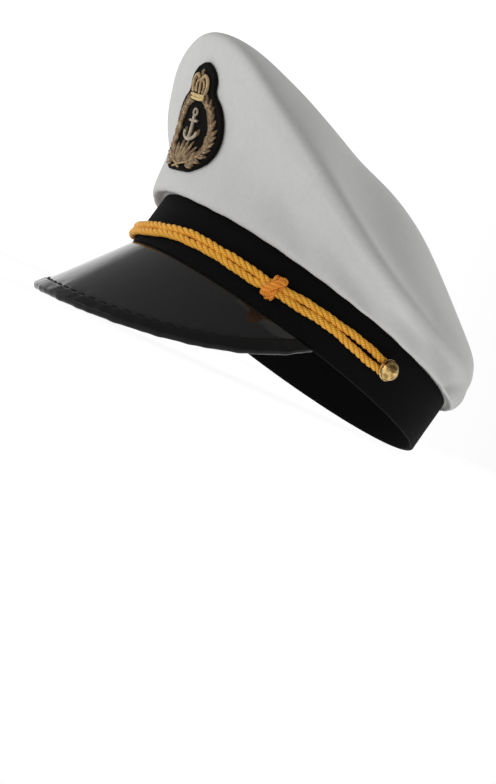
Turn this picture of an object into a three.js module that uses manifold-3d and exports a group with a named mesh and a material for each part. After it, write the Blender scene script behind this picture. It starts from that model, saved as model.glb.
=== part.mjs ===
// Captain-style sailor cap: a white hollow crown on a black band, a glossy sloping peak with a
// rolled edge, a double gold cord with sliding knots and side buttons, and an embroidered badge.
// The cap is drawn in the frame of its band (lower rim at z = 0, front toward -Y, the wearer's left
// toward +X) and then turned so that it rests on the peak's edge and the back of the band.
import * as THREE from 'three';
import { mergeVertices } from 'three/addons/utils/BufferGeometryUtils.js';
import Module from 'manifold-3d';

const wasm = await Module();
wasm.setup();

// Driving dimensions in millimetres, angles in degrees from the middle of the front
const headHalfLength = 100.5; // inside of the band, for a head of 58 cm
const headHalfWidth = 83.8;
const bandWall = 2.5;
const bandHeight = 32;
const seam = 0.3; // clearance between pieces that touch

const crownWall = 2;
const crownRise = 85; // highest point above the band's top edge
const crownLean = 38; // how far the front stands forward of the band
const sideOverhang = 17.7;
const backOverhang = 3.5;
const apexForward = 18;
const foldDepth = 3.2;

const peakReach = 60; // along the slope at the middle
const peakSlope = 60; // below the plane of the band
const peakHalfSpan = 72;
const peakFullness = 2.2; // power that rounds the outline
const peakThickness = 1.8;
const edgingWidth = 6;
const edgingWall = 0.9;
const edgingLip = 1.3; // what the rolled edge adds beyond the sheet

const cordDiameter = 4.6;
const cordEndShare = 0.51; // height of the pair's middle at the buttons, as a share of the band's height
// What it gains on the way round from the right button to the left one, angles in degrees
const cordSteps = [
  { from: -74, to: -47, gain: -0.12 },
  { from: -52, to: -24, gain: -0.18 },
  { from: -10, to: 27, gain: 0.18 },
  { from: 47, to: 74, gain: 0.12 },
];
const cordPart = 0.9; // half of the gap that opens behind the knot
const knotAngle = 53;
const knotCordDiameter = 3.4;
const knotTurns = 2;
const knotEase = 0.8; // clearance between the knot's turns and the strands inside them
const buttonAngle = 95;
const buttonDiameter = 12;
const buttonDome = 5;
const buttonRim = 1;
const shankDiameter = 3;

const badgeHeight = 59;
const badgeWidth = 51;
const badgeAcross = -0.5; // its foot's place, toward the wearer's left of the centre line
const badgeLean = 8.5; // and it leans this way, in degrees
const badgeUp = 17; // along the cloth, from the lip over the band to the badge's lower edge
const feltThickness = 2;
const threadRelief = 1.6;

const bandHalfLength = headHalfLength + bandWall;
const bandHalfWidth = headHalfWidth + bandWall;
const cordRadius = cordDiameter / 2;
const knotRadius = knotCordDiameter / 2;
const radians = THREE.MathUtils.degToRad;

// How finely round shapes are cut into facets
const aroundSteps = 54;
const peakSteps = 40;
const cordSides = 8;

// Material colours
const finishes = {
  whiteCloth: { color: 0xf1f1ef, roughness: 0.85, metalness: 0 },
  blackCloth: { color: 0x0c0c0e, roughness: 0.9, metalness: 0 },
  patent: { color: 0x08090a, roughness: 0.18, metalness: 0 },
  goldCord: { color: 0xe3a02c, roughness: 0.55, metalness: 0.1 },
  brass: { color: 0xd8b25c, roughness: 0.22, metalness: 1 },
  blackFelt: { color: 0x12100e, roughness: 0.95, metalness: 0 },
  goldThread: { color: 0xb88a48, roughness: 0.4, metalness: 0.7 },
};

// Geometry helpers

function solidify(geometry) {
  geometry.deleteAttribute('normal');
  geometry.deleteAttribute('uv');
  const merged = mergeVertices(geometry, 1e-4);
  const index = merged.getIndex().array;
  const kept = [];
  for (let i = 0; i < index.length; i += 3) {
    const [a, b, c] = [index[i], index[i + 1], index[i + 2]];
    if (a !== b && b !== c && a !== c) kept.push(a, b, c);
  }
  merged.setIndex(kept);
  if (signedVolume(merged) < 0) {
    for (let i = 0; i < kept.length; i += 3) [kept[i], kept[i + 1]] = [kept[i + 1], kept[i]];
    merged.setIndex(kept);
  }
  return merged;
}

function signedVolume(geometry) {
  const index = geometry.getIndex().array;
  const position = geometry.getAttribute('position');
  const [a, b, c] = [new THREE.Vector3(), new THREE.Vector3(), new THREE.Vector3()];
  let sum = 0;
  for (let i = 0; i < index.length; i += 3) {
    a.fromBufferAttribute(position, index[i]);
    b.fromBufferAttribute(position, index[i + 1]);
    c.fromBufferAttribute(position, index[i + 2]);
    sum += a.dot(b.cross(c)) / 6;
  }
  return sum;
}

function fromTriangles(points, triangles) {
  const geometry = new THREE.BufferGeometry();
  geometry.setAttribute('position', new THREE.Float32BufferAttribute(points.flatMap((p) => p.toArray()), 3));
  geometry.setIndex(triangles);
  return solidify(geometry);
}

// Closed sections joined one to the next; a loop joins the last to the first, else the ends are capped
function loft(sections, isLoop) {
  const count = sections[0].length;
  const triangles = [];
  const spans = isLoop ? sections.length : sections.length - 1;
  for (let i = 0; i < spans; i++) {
    const here = i * count;
    const next = ((i + 1) % sections.length) * count;
    for (let j = 0; j < count; j++) {
      const k = (j + 1) % count;
      triangles.push(here + j, here + k, next + k, here + j, next + k, next + j);
    }
  }
  if (!isLoop) {
    const last = (sections.length - 1) * count;
    for (let j = 1; j < count - 1; j++) {
      triangles.push(0, j + 1, j, last, last + j, last + j + 1);
    }
  }
  return fromTriangles(sections.flat(), triangles);
}

function toManifold(geometry) {
  const solid = geometry.index ? geometry : solidify(geometry);
  return new wasm.Manifold(new wasm.Mesh({
    numProp: 3,
    vertProperties: new Float32Array(solid.getAttribute('position').array),
    triVerts: new Uint32Array(solid.getIndex().array),
  }));
}

function fromManifold(solid) {
  const mesh = solid.getMesh();
  const geometry = new THREE.BufferGeometry();
  geometry.setAttribute('position', new THREE.BufferAttribute(new Float32Array(mesh.vertProperties), 3));
  geometry.setIndex(Array.from(mesh.triVerts));
  return geometry;
}

function unite(geometries) {
  const solids = geometries.map((geometry) => toManifold(solidify(geometry)));
  return fromManifold(solids.reduce((joined, solid) => joined.add(solid)));
}

function circle(radius, sides) {
  const outline = [];
  for (let i = 0; i < sides; i++) {
    const angle = (2 * Math.PI * i) / sides;
    outline.push(new THREE.Vector2(radius * Math.cos(angle), radius * Math.sin(angle)));
  }
  return new THREE.Shape(outline);
}

function tubeAlong(curve, radius, steps, sides) {
  return new THREE.ExtrudeGeometry(circle(radius, sides), { steps, bevelEnabled: false, extrudePath: curve });
}

class Path extends THREE.Curve {
  constructor(pointAt) {
    super();
    this.pointAt = pointAt;
  }

  getPoint(t, target = new THREE.Vector3()) {
    return target.copy(this.pointAt(t));
  }
}

// The band's outer face: a point at an angle from the front, a distance outward and a height
function aroundBand(angle, outward, height) {
  const point = new THREE.Vector3(bandHalfWidth * Math.sin(angle), -bandHalfLength * Math.cos(angle), height);
  return point.addScaledVector(bandNormal(angle), outward);
}

function bandNormal(angle) {
  return new THREE.Vector3(Math.sin(angle) / bandHalfWidth, -Math.cos(angle) / bandHalfLength, 0).normalize();
}

function makeBand() {
  const sections = [];
  for (let i = 0; i < aroundSteps; i++) {
    const angle = (2 * Math.PI * i) / aroundSteps;
    const corner = (wall, height) => aroundBand(angle, -wall, height);
    sections.push([corner(0, 0), corner(bandWall, 0), corner(bandWall, bandHeight), corner(0, bandHeight)]);
  }
  return loft(sections, true);
}

// Crown: rings of the outer surface from the band up to the dome.
// span: share of the band's half sizes. side, front, back: shares of the overhangs and the lean.
// frontUp, sideUp, backUp: heights over the band's top edge as shares of crownRise.
const crownRings = [
  // pouch
  { span: 1, side: 0.69, front: 0.18, back: 0.55, frontUp: 0.005, sideUp: -0.03, backUp: 0 },
  // wall
  { span: 1, side: 0.77, front: 0.4, back: 1, frontUp: 0.35, sideUp: 0.09, backUp: 0.127 },
  // shoulder
  { span: 1, side: 1, front: 0.9, back: 0.4, frontUp: 0.715, sideUp: 0.207, backUp: 0.25 },
  // edge
  { span: 0.92, side: 0.54, front: 1.215, back: 0.46, frontUp: 0.93, sideUp: 0.393, backUp: 0.372 },
  // dome
  { span: 0.5, side: 0.12, front: 1.218, back: 0.34, frontUp: 0.997, sideUp: 0.792, backUp: 0.615 },
];
const apexUp = 0.925;

// Dents and hollows: angle and wide in degrees, level and tall in rings, deep as a share of foldDepth
const crownDents = [
  { angle: 127, level: 2.55, wide: 9, tall: 0.55, deep: 1 },
  { angle: 146, level: 2.7, wide: 8, tall: 0.5, deep: -0.45 },
  { angle: -132, level: 2.6, wide: 11, tall: 0.55, deep: 0.8 },
  { angle: 50, level: 3.1, wide: 20, tall: 0.8, deep: 0.55 },
  { angle: -50, level: 3.1, wide: 20, tall: 0.8, deep: 0.55 },
  { angle: 78, level: 2.4, wide: 12, tall: 0.6, deep: 0.35 },
  { angle: -80, level: 2.5, wide: 14, tall: 0.6, deep: 0.4 },
];

function ringSizes() {
  const top = bandHeight + seam;
  const seat = (outward) => ({
    side: bandHalfWidth + outward,
    front: bandHalfLength + outward,
    back: bandHalfLength + outward,
    frontUp: top,
    sideUp: top,
    backUp: top,
  });
  const rings = [seat(seam - bandWall), seat(3 * seam)];
  for (const row of crownRings) {
    rings.push({
      side: row.span * bandHalfWidth + row.side * sideOverhang,
      front: row.span * bandHalfLength + row.front * crownLean,
      back: row.span * bandHalfLength + row.back * backOverhang,
      frontUp: bandHeight + row.frontUp * crownRise,
      sideUp: bandHeight + row.sideUp * crownRise,
      backUp: bandHeight + row.backUp * crownRise,
    });
  }
  const apex = bandHeight + apexUp * crownRise;
  rings.push({ side: 0, front: apexForward, back: -apexForward, frontUp: apex, sideUp: apex, backUp: apex });
  return rings;
}

const rings = ringSizes();
const seatLevel = 0;
const lipLevel = 1;
const apexLevel = rings.length - 1;

// The last ring is mirrored past the apex, so that the dome is level there
function pastApex(key) {
  const dome = rings[apexLevel - 1];
  const apex = rings[apexLevel];
  if (key === 'side') return -dome.side;
  if (key === 'front') return 2 * apex.front - dome.front;
  if (key === 'back') return 2 * apex.back - dome.back;
  return dome[key];
}

function ringValue(key, level) {
  const i = Math.min(Math.floor(level), apexLevel - 1);
  const f = level - i;
  const p0 = rings[Math.max(i - 1, 0)][key];
  const p1 = rings[i][key];
  const p2 = rings[i + 1][key];
  const p3 = i + 2 > apexLevel ? pastApex(key) : rings[i + 2][key];
  const linear = (p2 - p0) * f;
  const square = (2 * p0 - 5 * p1 + 4 * p2 - p3) * f * f;
  const cube = (3 * p1 - p0 - 3 * p2 + p3) * f * f * f;
  return (2 * p1 + linear + square + cube) / 2;
}

function crownSmooth(level, angle) {
  const [front, back] = [ringValue('front', level), ringValue('back', level)];
  const towardFront = Math.max(Math.cos(angle), 0) ** 2;
  const towardBack = Math.max(-Math.cos(angle), 0) ** 2;
  const sideUp = ringValue('sideUp', level);
  const frontGain = (ringValue('frontUp', level) - sideUp) * towardFront;
  const backGain = (ringValue('backUp', level) - sideUp) * towardBack;
  const forward = ((front + back) / 2) * Math.cos(angle) + (front - back) / 2;
  const up = sideUp + frontGain + backGain;
  return new THREE.Vector3(ringValue('side', level) * Math.sin(angle), -forward, up);
}

function crownNormal(level, angle) {
  const step = 0.01;
  const low = Math.max(level - step, seatLevel);
  const high = Math.min(level + step, apexLevel);
  if (level > apexLevel - step) return new THREE.Vector3(0, 0, 1);
  const up = crownSmooth(high, angle).sub(crownSmooth(low, angle));
  const around = crownSmooth(level, angle + step).sub(crownSmooth(level, angle - step));
  return around.cross(up).normalize();
}

function dentDepth(level, angle) {
  let depth = 0;
  for (const dent of crownDents) {
    const turn = Math.atan2(Math.sin(angle - radians(dent.angle)), Math.cos(angle - radians(dent.angle)));
    const across = turn / radians(dent.wide);
    const along = (level - dent.level) / dent.tall;
    depth += dent.deep * foldDepth * Math.exp(-across * across - along * along);
  }
  const seatFade = THREE.MathUtils.smoothstep(level, lipLevel, lipLevel + 1);
  return depth * seatFade;
}

// A point of the crown, a distance inside its outer surface
function crownPoint(level, angle, inward) {
  const depth = dentDepth(level, angle) + inward;
  return crownSmooth(level, angle).addScaledVector(crownNormal(level, angle), -depth);
}

function makeCrown() {
  const rowsPerRing = [1, 3, 4, 3, 3, 3, 2];
  const levels = [seatLevel];
  rowsPerRing.forEach((rows, ring) => {
    for (let i = 1; i <= rows; i++) levels.push(ring + i / rows);
  });
  const skin = [...levels.map((level) => [level, 0]), ...levels.map((level) => [level, crownWall]).reverse()];
  const points = [];
  for (const [level, inward] of skin) {
    for (let i = 0; i < aroundSteps; i++) {
      points.push(crownPoint(level, (2 * Math.PI * i) / aroundSteps, inward));
    }
  }
  const triangles = [];
  const apexRow = levels.length - 1;
  for (let row = 0; row < skin.length; row++) {
    if (row === apexRow) continue;
    const here = row * aroundSteps;
    const next = ((row + 1) % skin.length) * aroundSteps;
    for (let i = 0; i < aroundSteps; i++) {
      const k = (i + 1) % aroundSteps;
      triangles.push(here + i, here + k, next + k, here + i, next + k, next + i);
    }
  }
  return fromTriangles(points, triangles);
}

// Peak: a sheet that slopes down from the band's lower rim
const slope = radians(peakSlope);

function peakWidth(angle) {
  return peakReach * (1 - Math.pow(Math.abs(angle) / radians(peakHalfSpan), peakFullness));
}

function peakPoint(angle, along, above) {
  const outward = along * Math.cos(slope) + above * Math.sin(slope);
  return aroundBand(angle, outward, above * Math.cos(slope) - along * Math.sin(slope) - seam);
}

// The sheet made larger by a clearance on its faces and its rim, and lengthened at its seat
function peakSheet(clearance, lengthening) {
  const acrossSteps = 4;
  const under = -peakThickness - clearance;
  const upperSeat = clearance / Math.tan(slope) - lengthening;
  const lowerSeat = under / Math.tan(slope) - lengthening;
  const sections = [];
  for (let i = 0; i <= peakSteps; i++) {
    const angle = radians(peakHalfSpan) * ((2 * i) / peakSteps - 1);
    const rim = Math.max(peakWidth(angle), 0) + clearance;
    const section = [];
    for (let j = 0; j <= acrossSteps; j++) {
      section.push(peakPoint(angle, THREE.MathUtils.lerp(upperSeat, rim, j / acrossSteps), clearance));
    }
    for (let j = acrossSteps; j >= 0; j--) {
      section.push(peakPoint(angle, THREE.MathUtils.lerp(lowerSeat, rim, j / acrossSteps), under));
    }
    sections.push(section);
  }
  return loft(sections, false);
}

// Outline of the rolled edge across the rim: inward as a share of its width, height as a share of its half
const edgingOutline = [
  { inward: -1, height: 0 },
  { inward: -0.75, height: 0.7 },
  { inward: 0, height: 1 },
  { inward: 0.8, height: 1 },
  { inward: 1, height: 0.62 },
  { inward: 1, height: -0.62 },
  { inward: 0.8, height: -1 },
  { inward: 0, height: -1 },
  { inward: -0.75, height: -0.7 },
];

function makeEdging() {
  const overrun = 1.04;
  const halfHeight = peakThickness / 2 + seam + edgingWall;
  const rimAt = (angle) => peakPoint(angle, peakWidth(angle), -peakThickness / 2);
  const sections = [];
  for (let i = 0; i <= peakSteps; i++) {
    const angle = radians(peakHalfSpan) * overrun * ((2 * i) / peakSteps - 1);
    const run = rimAt(angle + 0.01).sub(rimAt(angle - 0.01)).normalize();
    const face = peakPoint(angle, 0, 1).sub(peakPoint(angle, 0, 0));
    const inside = new THREE.Vector3().crossVectors(face, run).normalize();
    if (inside.z < 0) inside.negate();
    sections.push(edgingOutline.map((row) => {
      const width = row.inward < 0 ? edgingLip + seam : edgingWidth;
      const point = rimAt(angle).addScaledVector(inside, row.inward * width);
      return point.addScaledVector(face, row.height * halfHeight);
    }));
  }
  const slot = toManifold(peakSheet(seam, edgingWidth));
  const reach = 4 * (bandHalfLength + peakReach);
  const above = new THREE.BoxGeometry(reach, reach, reach).translate(0, 0, reach / 2 - seam);
  return fromManifold(toManifold(loft(sections, false)).subtract(slot).subtract(toManifold(solidify(above))));
}

// Cord, knots and buttons
const bandRadiusAt = (angle) => Math.hypot(bandHalfWidth * Math.cos(angle), bandHalfLength * Math.sin(angle));

function cordHeight(angle) {
  let share = cordEndShare;
  for (const { from, to, gain } of cordSteps) {
    share += gain * THREE.MathUtils.smoothstep(angle, radians(from), radians(to));
  }
  return bandHeight * share;
}

// Half of the distance between the strands' middles
function strandSpread(angle) {
  const share = (Math.abs(angle) - radians(knotAngle)) / radians(buttonAngle - knotAngle);
  const opening = THREE.MathUtils.smoothstep(share, 0.15, 0.55);
  return cordRadius + seam / 2 + cordPart * opening;
}

// The knot's turns pass behind the strands and lift them off the band
function strandOut(angle) {
  const away = (Math.abs(angle) - radians(knotAngle)) * bandRadiusAt(radians(knotAngle));
  const lift = knotCordDiameter + knotEase;
  const near = THREE.MathUtils.smoothstep(Math.abs(away), knotCordDiameter * 1.1, knotCordDiameter * 4);
  return seam + cordRadius + lift * (1 - near);
}

function makeStrand(level) {
  const shankGap = shankDiameter / 2 + seam;
  const end = radians(buttonAngle) - shankGap / bandRadiusAt(radians(buttonAngle));
  const run = new Path((t) => {
    const angle = end * (2 * t - 1);
    return aroundBand(angle, strandOut(angle), cordHeight(angle) + level * strandSpread(angle));
  });
  return solidify(tubeAlong(run, cordRadius, 40, cordSides));
}

function makeKnot(side) {
  const middle = radians(knotAngle);
  const wrap = cordRadius + knotRadius + knotEase;
  const spread = strandSpread(middle);
  const run = new Path((t) => {
    const turn = 2 * Math.PI * knotTurns * (t - 0.5);
    const travel = (knotCordDiameter + seam) * knotTurns * (t - 0.5);
    const angle = side * (middle + travel / bandRadiusAt(middle));
    const up = spread * THREE.MathUtils.clamp(2.5 * Math.sin(turn), -1, 1) + wrap * Math.sin(turn);
    const outward = strandOut(middle) - wrap * Math.cos(turn);
    return aroundBand(angle, outward, cordHeight(angle) + up);
  });
  return solidify(tubeAlong(run, knotRadius, 32, 6));
}

function makeButton(side) {
  const base = seam + cordDiameter + seam;
  const radius = buttonDiameter / 2;
  const profile = [
    new THREE.Vector2(0, seam),
    new THREE.Vector2(shankDiameter / 2, seam),
    new THREE.Vector2(shankDiameter / 2, base),
    new THREE.Vector2(radius * 0.9, base),
    new THREE.Vector2(radius, base + buttonRim / 2),
  ];
  const domeSteps = 5;
  for (let i = 0; i < domeSteps; i++) {
    const turn = (Math.PI / 2) * (i / domeSteps);
    profile.push(new THREE.Vector2(radius * Math.cos(turn), base + buttonRim + buttonDome * Math.sin(turn)));
  }
  profile.push(new THREE.Vector2(0, base + buttonRim + buttonDome));
  const geometry = solidify(new THREE.LatheGeometry(profile, 14));
  const angle = side * radians(buttonAngle);
  const turn = new THREE.Quaternion().setFromUnitVectors(new THREE.Vector3(0, 1, 0), bandNormal(angle));
  geometry.applyQuaternion(turn);
  geometry.translate(...aroundBand(angle, 0, cordHeight(angle)).toArray());
  return geometry;
}

// Badge: laid on the crown's front, measured along the cloth
const clothLevels = [];
const clothLengths = [0];
for (let level = lipLevel; level <= apexLevel; level += 0.05) clothLevels.push(level);
for (let i = 1; i < clothLevels.length; i++) {
  const stretch = crownPoint(clothLevels[i], 0, 0).distanceTo(crownPoint(clothLevels[i - 1], 0, 0));
  clothLengths.push(clothLengths[i - 1] + stretch);
}

function levelAt(length) {
  const i = Math.max(1, clothLengths.findIndex((reach) => reach >= length));
  const share = (length - clothLengths[i - 1]) / (clothLengths[i] - clothLengths[i - 1]);
  return THREE.MathUtils.lerp(clothLevels[i - 1], clothLevels[i], share);
}

// across: millimetres toward +X. up: millimetres above the badge's lower edge. lift: off the cloth.
function onBadge(across, up, lift) {
  const level = levelAt(badgeUp + up);
  const place = badgeAcross + across + up * Math.tan(radians(badgeLean));
  const share = place / ringValue('side', level);
  const angle = Math.asin(THREE.MathUtils.clamp(share, -1, 1));
  return crownPoint(level, angle, -lift);
}

// Half widths of the felt at shares of its height, as shares of half the badge's width
const feltOutline = [
  { up: 0, half: 0.36 },
  { up: 0.045, half: 0.62 },
  { up: 0.11, half: 0.82 },
  { up: 0.2, half: 0.95 },
  { up: 0.31, half: 1 },
  { up: 0.43, half: 1 },
  { up: 0.55, half: 0.95 },
  { up: 0.64, half: 0.85 },
  { up: 0.7, half: 0.73 },
  { up: 0.745, half: 0.57 },
  { up: 0.79, half: 0.5 },
  { up: 0.85, half: 0.5 },
  { up: 0.91, half: 0.44 },
  { up: 0.96, half: 0.31 },
  { up: 1, half: 0.08 },
];

function makeFelt() {
  const acrossSteps = 6;
  const sections = feltOutline.map((row) => {
    const half = (row.half * badgeWidth) / 2;
    const across = (j) => half * ((2 * j) / acrossSteps - 1);
    const section = [];
    for (let j = 0; j <= acrossSteps; j++) {
      section.push(onBadge(across(j), row.up * badgeHeight, seam));
    }
    for (let j = acrossSteps; j >= 0; j--) {
      section.push(onBadge(across(j), row.up * badgeHeight, seam + feltThickness));
    }
    return section;
  });
  return loft(sections, false);
}

const threadLift = seam + feltThickness + seam + threadRelief / 2;

// A raised line of thread through points given as shares of half the badge's width and of its height
function threadLine(points, radius, steps) {
  const half = badgeWidth / 2;
  const places = points.map(([across, up]) => onBadge(across * half, up * badgeHeight, threadLift));
  return tubeAlong(new THREE.CatmullRomCurve3(places), radius, steps, 5);
}

// A pointed pad of thread, its length along a direction turned from upright
function threadPad(across, up, turn, length, width) {
  const [x, y] = [(across * badgeWidth) / 2, up * badgeHeight];
  const middle = onBadge(x, y, threadLift);
  const out = onBadge(x, y, threadLift + 1).sub(middle).normalize();
  const right = onBadge(x + 1, y, threadLift).sub(middle).normalize();
  const upward = new THREE.Vector3().crossVectors(out, right).normalize();
  const along = upward.clone().multiplyScalar(Math.cos(turn)).addScaledVector(right, Math.sin(turn));
  const beside = new THREE.Vector3().crossVectors(along, out);
  const pad = new THREE.OctahedronGeometry(1);
  pad.applyMatrix4(new THREE.Matrix4().makeBasis(
    beside.multiplyScalar(width / 2),
    along.multiplyScalar(length / 2),
    out.multiplyScalar(threadRelief / 2),
  ));
  pad.translate(...middle.toArray());
  return pad;
}

// One branch of the wreath: a stem that follows the felt's edge, with leaves on both sides
const wreathStem = [[0.06, 0.06], [0.36, 0.09], [0.65, 0.18], [0.76, 0.31], [0.74, 0.46], [0.56, 0.62]];

function makeWreath(side) {
  const leafPairs = 6;
  const leafLength = badgeHeight * 0.13;
  const leafWidth = badgeHeight * 0.05;
  const places = wreathStem.map(([across, up]) => [side * across, up]);
  const stem = new THREE.CatmullRomCurve3(places.map(([across, up]) => new THREE.Vector3(across, up, 0)));
  const pieces = [threadLine(places, threadRelief * 0.42, 9)];
  for (let i = 0; i < leafPairs; i++) {
    const t = 0.12 + (0.86 * i) / (leafPairs - 1);
    const place = stem.getPoint(t);
    const run = stem.getTangent(t);
    const turn = Math.atan2((run.x * badgeWidth) / 2, run.y * badgeHeight);
    for (const lean of [-1, 1]) {
      const aim = turn + lean * radians(32);
      const shift = leafLength * 0.33;
      const across = place.x + (shift * Math.sin(aim)) / (badgeWidth / 2);
      const up = place.y + (shift * Math.cos(aim)) / badgeHeight;
      pieces.push(threadPad(across, up, aim, leafLength, leafWidth));
    }
  }
  return unite(pieces);
}

function makeAnchor() {
  const thick = threadRelief * 0.55;
  return unite([
    threadLine([[0, 0.22], [0, 0.4], [0, 0.55]], thick, 5),
    threadLine([[-0.2, 0.49], [0, 0.49], [0.2, 0.49]], thick * 0.9, 5),
    threadLine([[-0.34, 0.33], [-0.24, 0.25], [0, 0.205], [0.24, 0.25], [0.34, 0.33]], thick, 10),
    threadPad(0, 0.565, 0, badgeHeight * 0.05, badgeHeight * 0.05),
    threadPad(-0.34, 0.335, radians(-20), badgeHeight * 0.07, badgeHeight * 0.045),
    threadPad(0.34, 0.335, radians(20), badgeHeight * 0.07, badgeHeight * 0.045),
  ]);
}

function makeSmallCrown() {
  const thick = threadRelief * 0.5;
  return unite([
    threadLine([[-0.24, 0.7], [0, 0.688], [0.24, 0.7]], thick * 1.15, 5),
    threadLine([[-0.23, 0.7], [-0.3, 0.78], [-0.22, 0.85], [0, 0.865]], thick, 7),
    threadLine([[0.23, 0.7], [0.3, 0.78], [0.22, 0.85], [0, 0.865]], thick, 7),
    threadLine([[0, 0.69], [0, 0.78], [0, 0.88]], thick, 4),
    threadLine([[-0.1, 0.69], [-0.15, 0.77], [-0.1, 0.83], [0, 0.862]], thick * 0.8, 5),
    threadLine([[0.1, 0.69], [0.15, 0.77], [0.1, 0.83], [0, 0.862]], thick * 0.8, 5),
    threadPad(0, 0.893, 0, badgeHeight * 0.05, badgeHeight * 0.045),
  ]);
}

// Scene graph
const cap = new THREE.Group();

function addPiece(name, finish, geometry) {
  geometry.computeVertexNormals();
  const mesh = new THREE.Mesh(geometry, new THREE.MeshStandardMaterial(finishes[finish]));
  mesh.name = name;
  cap.add(mesh);
  return mesh;
}

addPiece('band', 'blackCloth', makeBand());
addPiece('crown', 'whiteCloth', makeCrown());
const peak = addPiece('peak', 'patent', peakSheet(0, 0));
const edging = addPiece('peak_edging', 'patent', makeEdging());
addPiece('cord_upper', 'goldCord', makeStrand(1));
addPiece('cord_lower', 'goldCord', makeStrand(-1));
for (const [name, side] of [['left', 1], ['right', -1]]) {
  addPiece(`knot_${name}`, 'goldCord', makeKnot(side));
  addPiece(`button_${name}`, 'brass', makeButton(side));
  addPiece(`badge_wreath_${name}`, 'goldThread', makeWreath(side));
}
addPiece('badge_backing', 'blackFelt', makeFelt());
addPiece('badge_anchor', 'goldThread', makeAnchor());
addPiece('badge_crown', 'goldThread', makeSmallCrown());

// At rest the cap leans back on the rear of the band's rim and on the lowest part of the peak
function restTilt() {
  let tilt = 0;
  for (const mesh of [peak, edging]) {
    const position = mesh.geometry.getAttribute('position');
    for (let i = 0; i < position.count; i++) {
      tilt = Math.max(tilt, Math.atan2(-position.getZ(i), bandHalfLength - position.getY(i)));
    }
  }
  return tilt;
}

cap.rotation.x = -restTilt();
const object = new THREE.Group();
object.add(cap);
object.updateMatrixWorld(true);
const box = new THREE.Box3().setFromObject(object, true);
cap.position.set(-(box.min.x + box.max.x) / 2, -(box.min.y + box.max.y) / 2, -box.min.z);

export default object;
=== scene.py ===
"""Captain-style sailor cap: cloth, patent peak, gold cord, buttons and embroidered badge over the frame."""
import math

import bpy
import numpy as np
from mathutils import Matrix
from mathutils import Vector


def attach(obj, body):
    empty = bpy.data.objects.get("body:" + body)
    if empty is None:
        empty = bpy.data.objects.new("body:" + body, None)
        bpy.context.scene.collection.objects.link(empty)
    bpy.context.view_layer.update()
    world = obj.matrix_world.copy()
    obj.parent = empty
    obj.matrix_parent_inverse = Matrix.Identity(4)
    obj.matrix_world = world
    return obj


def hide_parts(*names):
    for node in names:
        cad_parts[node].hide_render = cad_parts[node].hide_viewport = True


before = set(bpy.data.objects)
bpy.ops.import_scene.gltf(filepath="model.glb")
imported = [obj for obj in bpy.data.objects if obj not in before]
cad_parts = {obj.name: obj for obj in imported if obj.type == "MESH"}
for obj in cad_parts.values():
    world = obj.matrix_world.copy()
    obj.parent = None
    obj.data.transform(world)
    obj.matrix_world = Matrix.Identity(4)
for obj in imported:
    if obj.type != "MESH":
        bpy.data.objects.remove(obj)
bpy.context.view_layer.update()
scene = bpy.context.scene

# Driving dimensions in millimetres, as in the frame's own source
BAND_WALL = 2.5
BAND_HALF_LENGTH = 100.5 + BAND_WALL
BAND_HALF_WIDTH = 83.8 + BAND_WALL
BAND_HEIGHT = 32.0
SEAM = 0.3
CROWN_WALL = 2.0
CROWN_RISE = 85.0
CROWN_LEAN = 38.0
SIDE_OVERHANG = 17.7
BACK_OVERHANG = 3.5
APEX_FORWARD = 18.0
FOLD_DEPTH = 3.2
PEAK_REACH = 60.0
PEAK_SLOPE = math.radians(60)
PEAK_HALF_SPAN = math.radians(72)
PEAK_FULLNESS = 2.2
PEAK_THICKNESS = 1.8
EDGING_WIDTH = 6.0
EDGING_WALL = 0.9
EDGING_LIP = 1.3
STITCH_PITCH = 7.6
STITCH_INSET = 7.2
CORD_DIAMETER = 4.6
CORD_END_SHARE = 0.51
CORD_PART = 0.8
CORD_PRESS = 0.3
CORD_LAY = 12.5
KNOT_ANGLE = math.radians(53)
KNOT_LIFT = 2.0
BUTTON_ANGLE = math.radians(95)
BUTTON_DIAMETER = 12.0
BUTTON_DOME = 5.0
BUTTON_RIM = 1.0
SHANK_DIAMETER = 3.0
BADGE_HEIGHT = 59.0
BADGE_WIDTH = 51.0
BADGE_ACROSS = -0.5
BADGE_LEAN = math.radians(8.5)
BADGE_UP = 17.0
FELT_THICKNESS = 2.0
THREAD_RELIEF = 1.6

# from and to in degrees, gain of the cord's height as a share of the band's height
CORD_STEPS = [
    (-74, -47, -0.12),
    (-52, -24, -0.18),
    (-10, 27, 0.18),
    (47, 74, 0.12),
]

# At rest the cap leans back on the rear of the band and on the peak's edge
REST_TILT = math.radians(-13.0789)
REST_MOVE = np.array([0.0, 14.21, 23.31])

# span, side, front, back, front up, side up, back up: the crown's rings, as shares of the sizes above
CROWN_RINGS = [
    (1.0, 0.69, 0.18, 0.55, 0.005, -0.03, 0.0),
    (1.0, 0.77, 0.4, 1.0, 0.35, 0.09, 0.127),
    (1.0, 1.0, 0.9, 0.4, 0.715, 0.207, 0.25),
    (0.92, 0.54, 1.215, 0.46, 0.93, 0.393, 0.372),
    (0.5, 0.12, 1.218, 0.34, 0.997, 0.792, 0.615),
]
APEX_UP = 0.925

# angle and width in degrees, level and height in rings, depth as a share of FOLD_DEPTH
CROWN_DENTS = [
    (127, 2.55, 9, 0.55, 1.0),
    (146, 2.7, 8, 0.5, -0.45),
    (-132, 2.6, 11, 0.55, 0.8),
    (50, 3.1, 20, 0.8, 0.55),
    (-50, 3.1, 20, 0.8, 0.55),
    (78, 2.4, 12, 0.6, 0.35),
    (-80, 2.5, 14, 0.6, 0.4),
]

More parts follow.
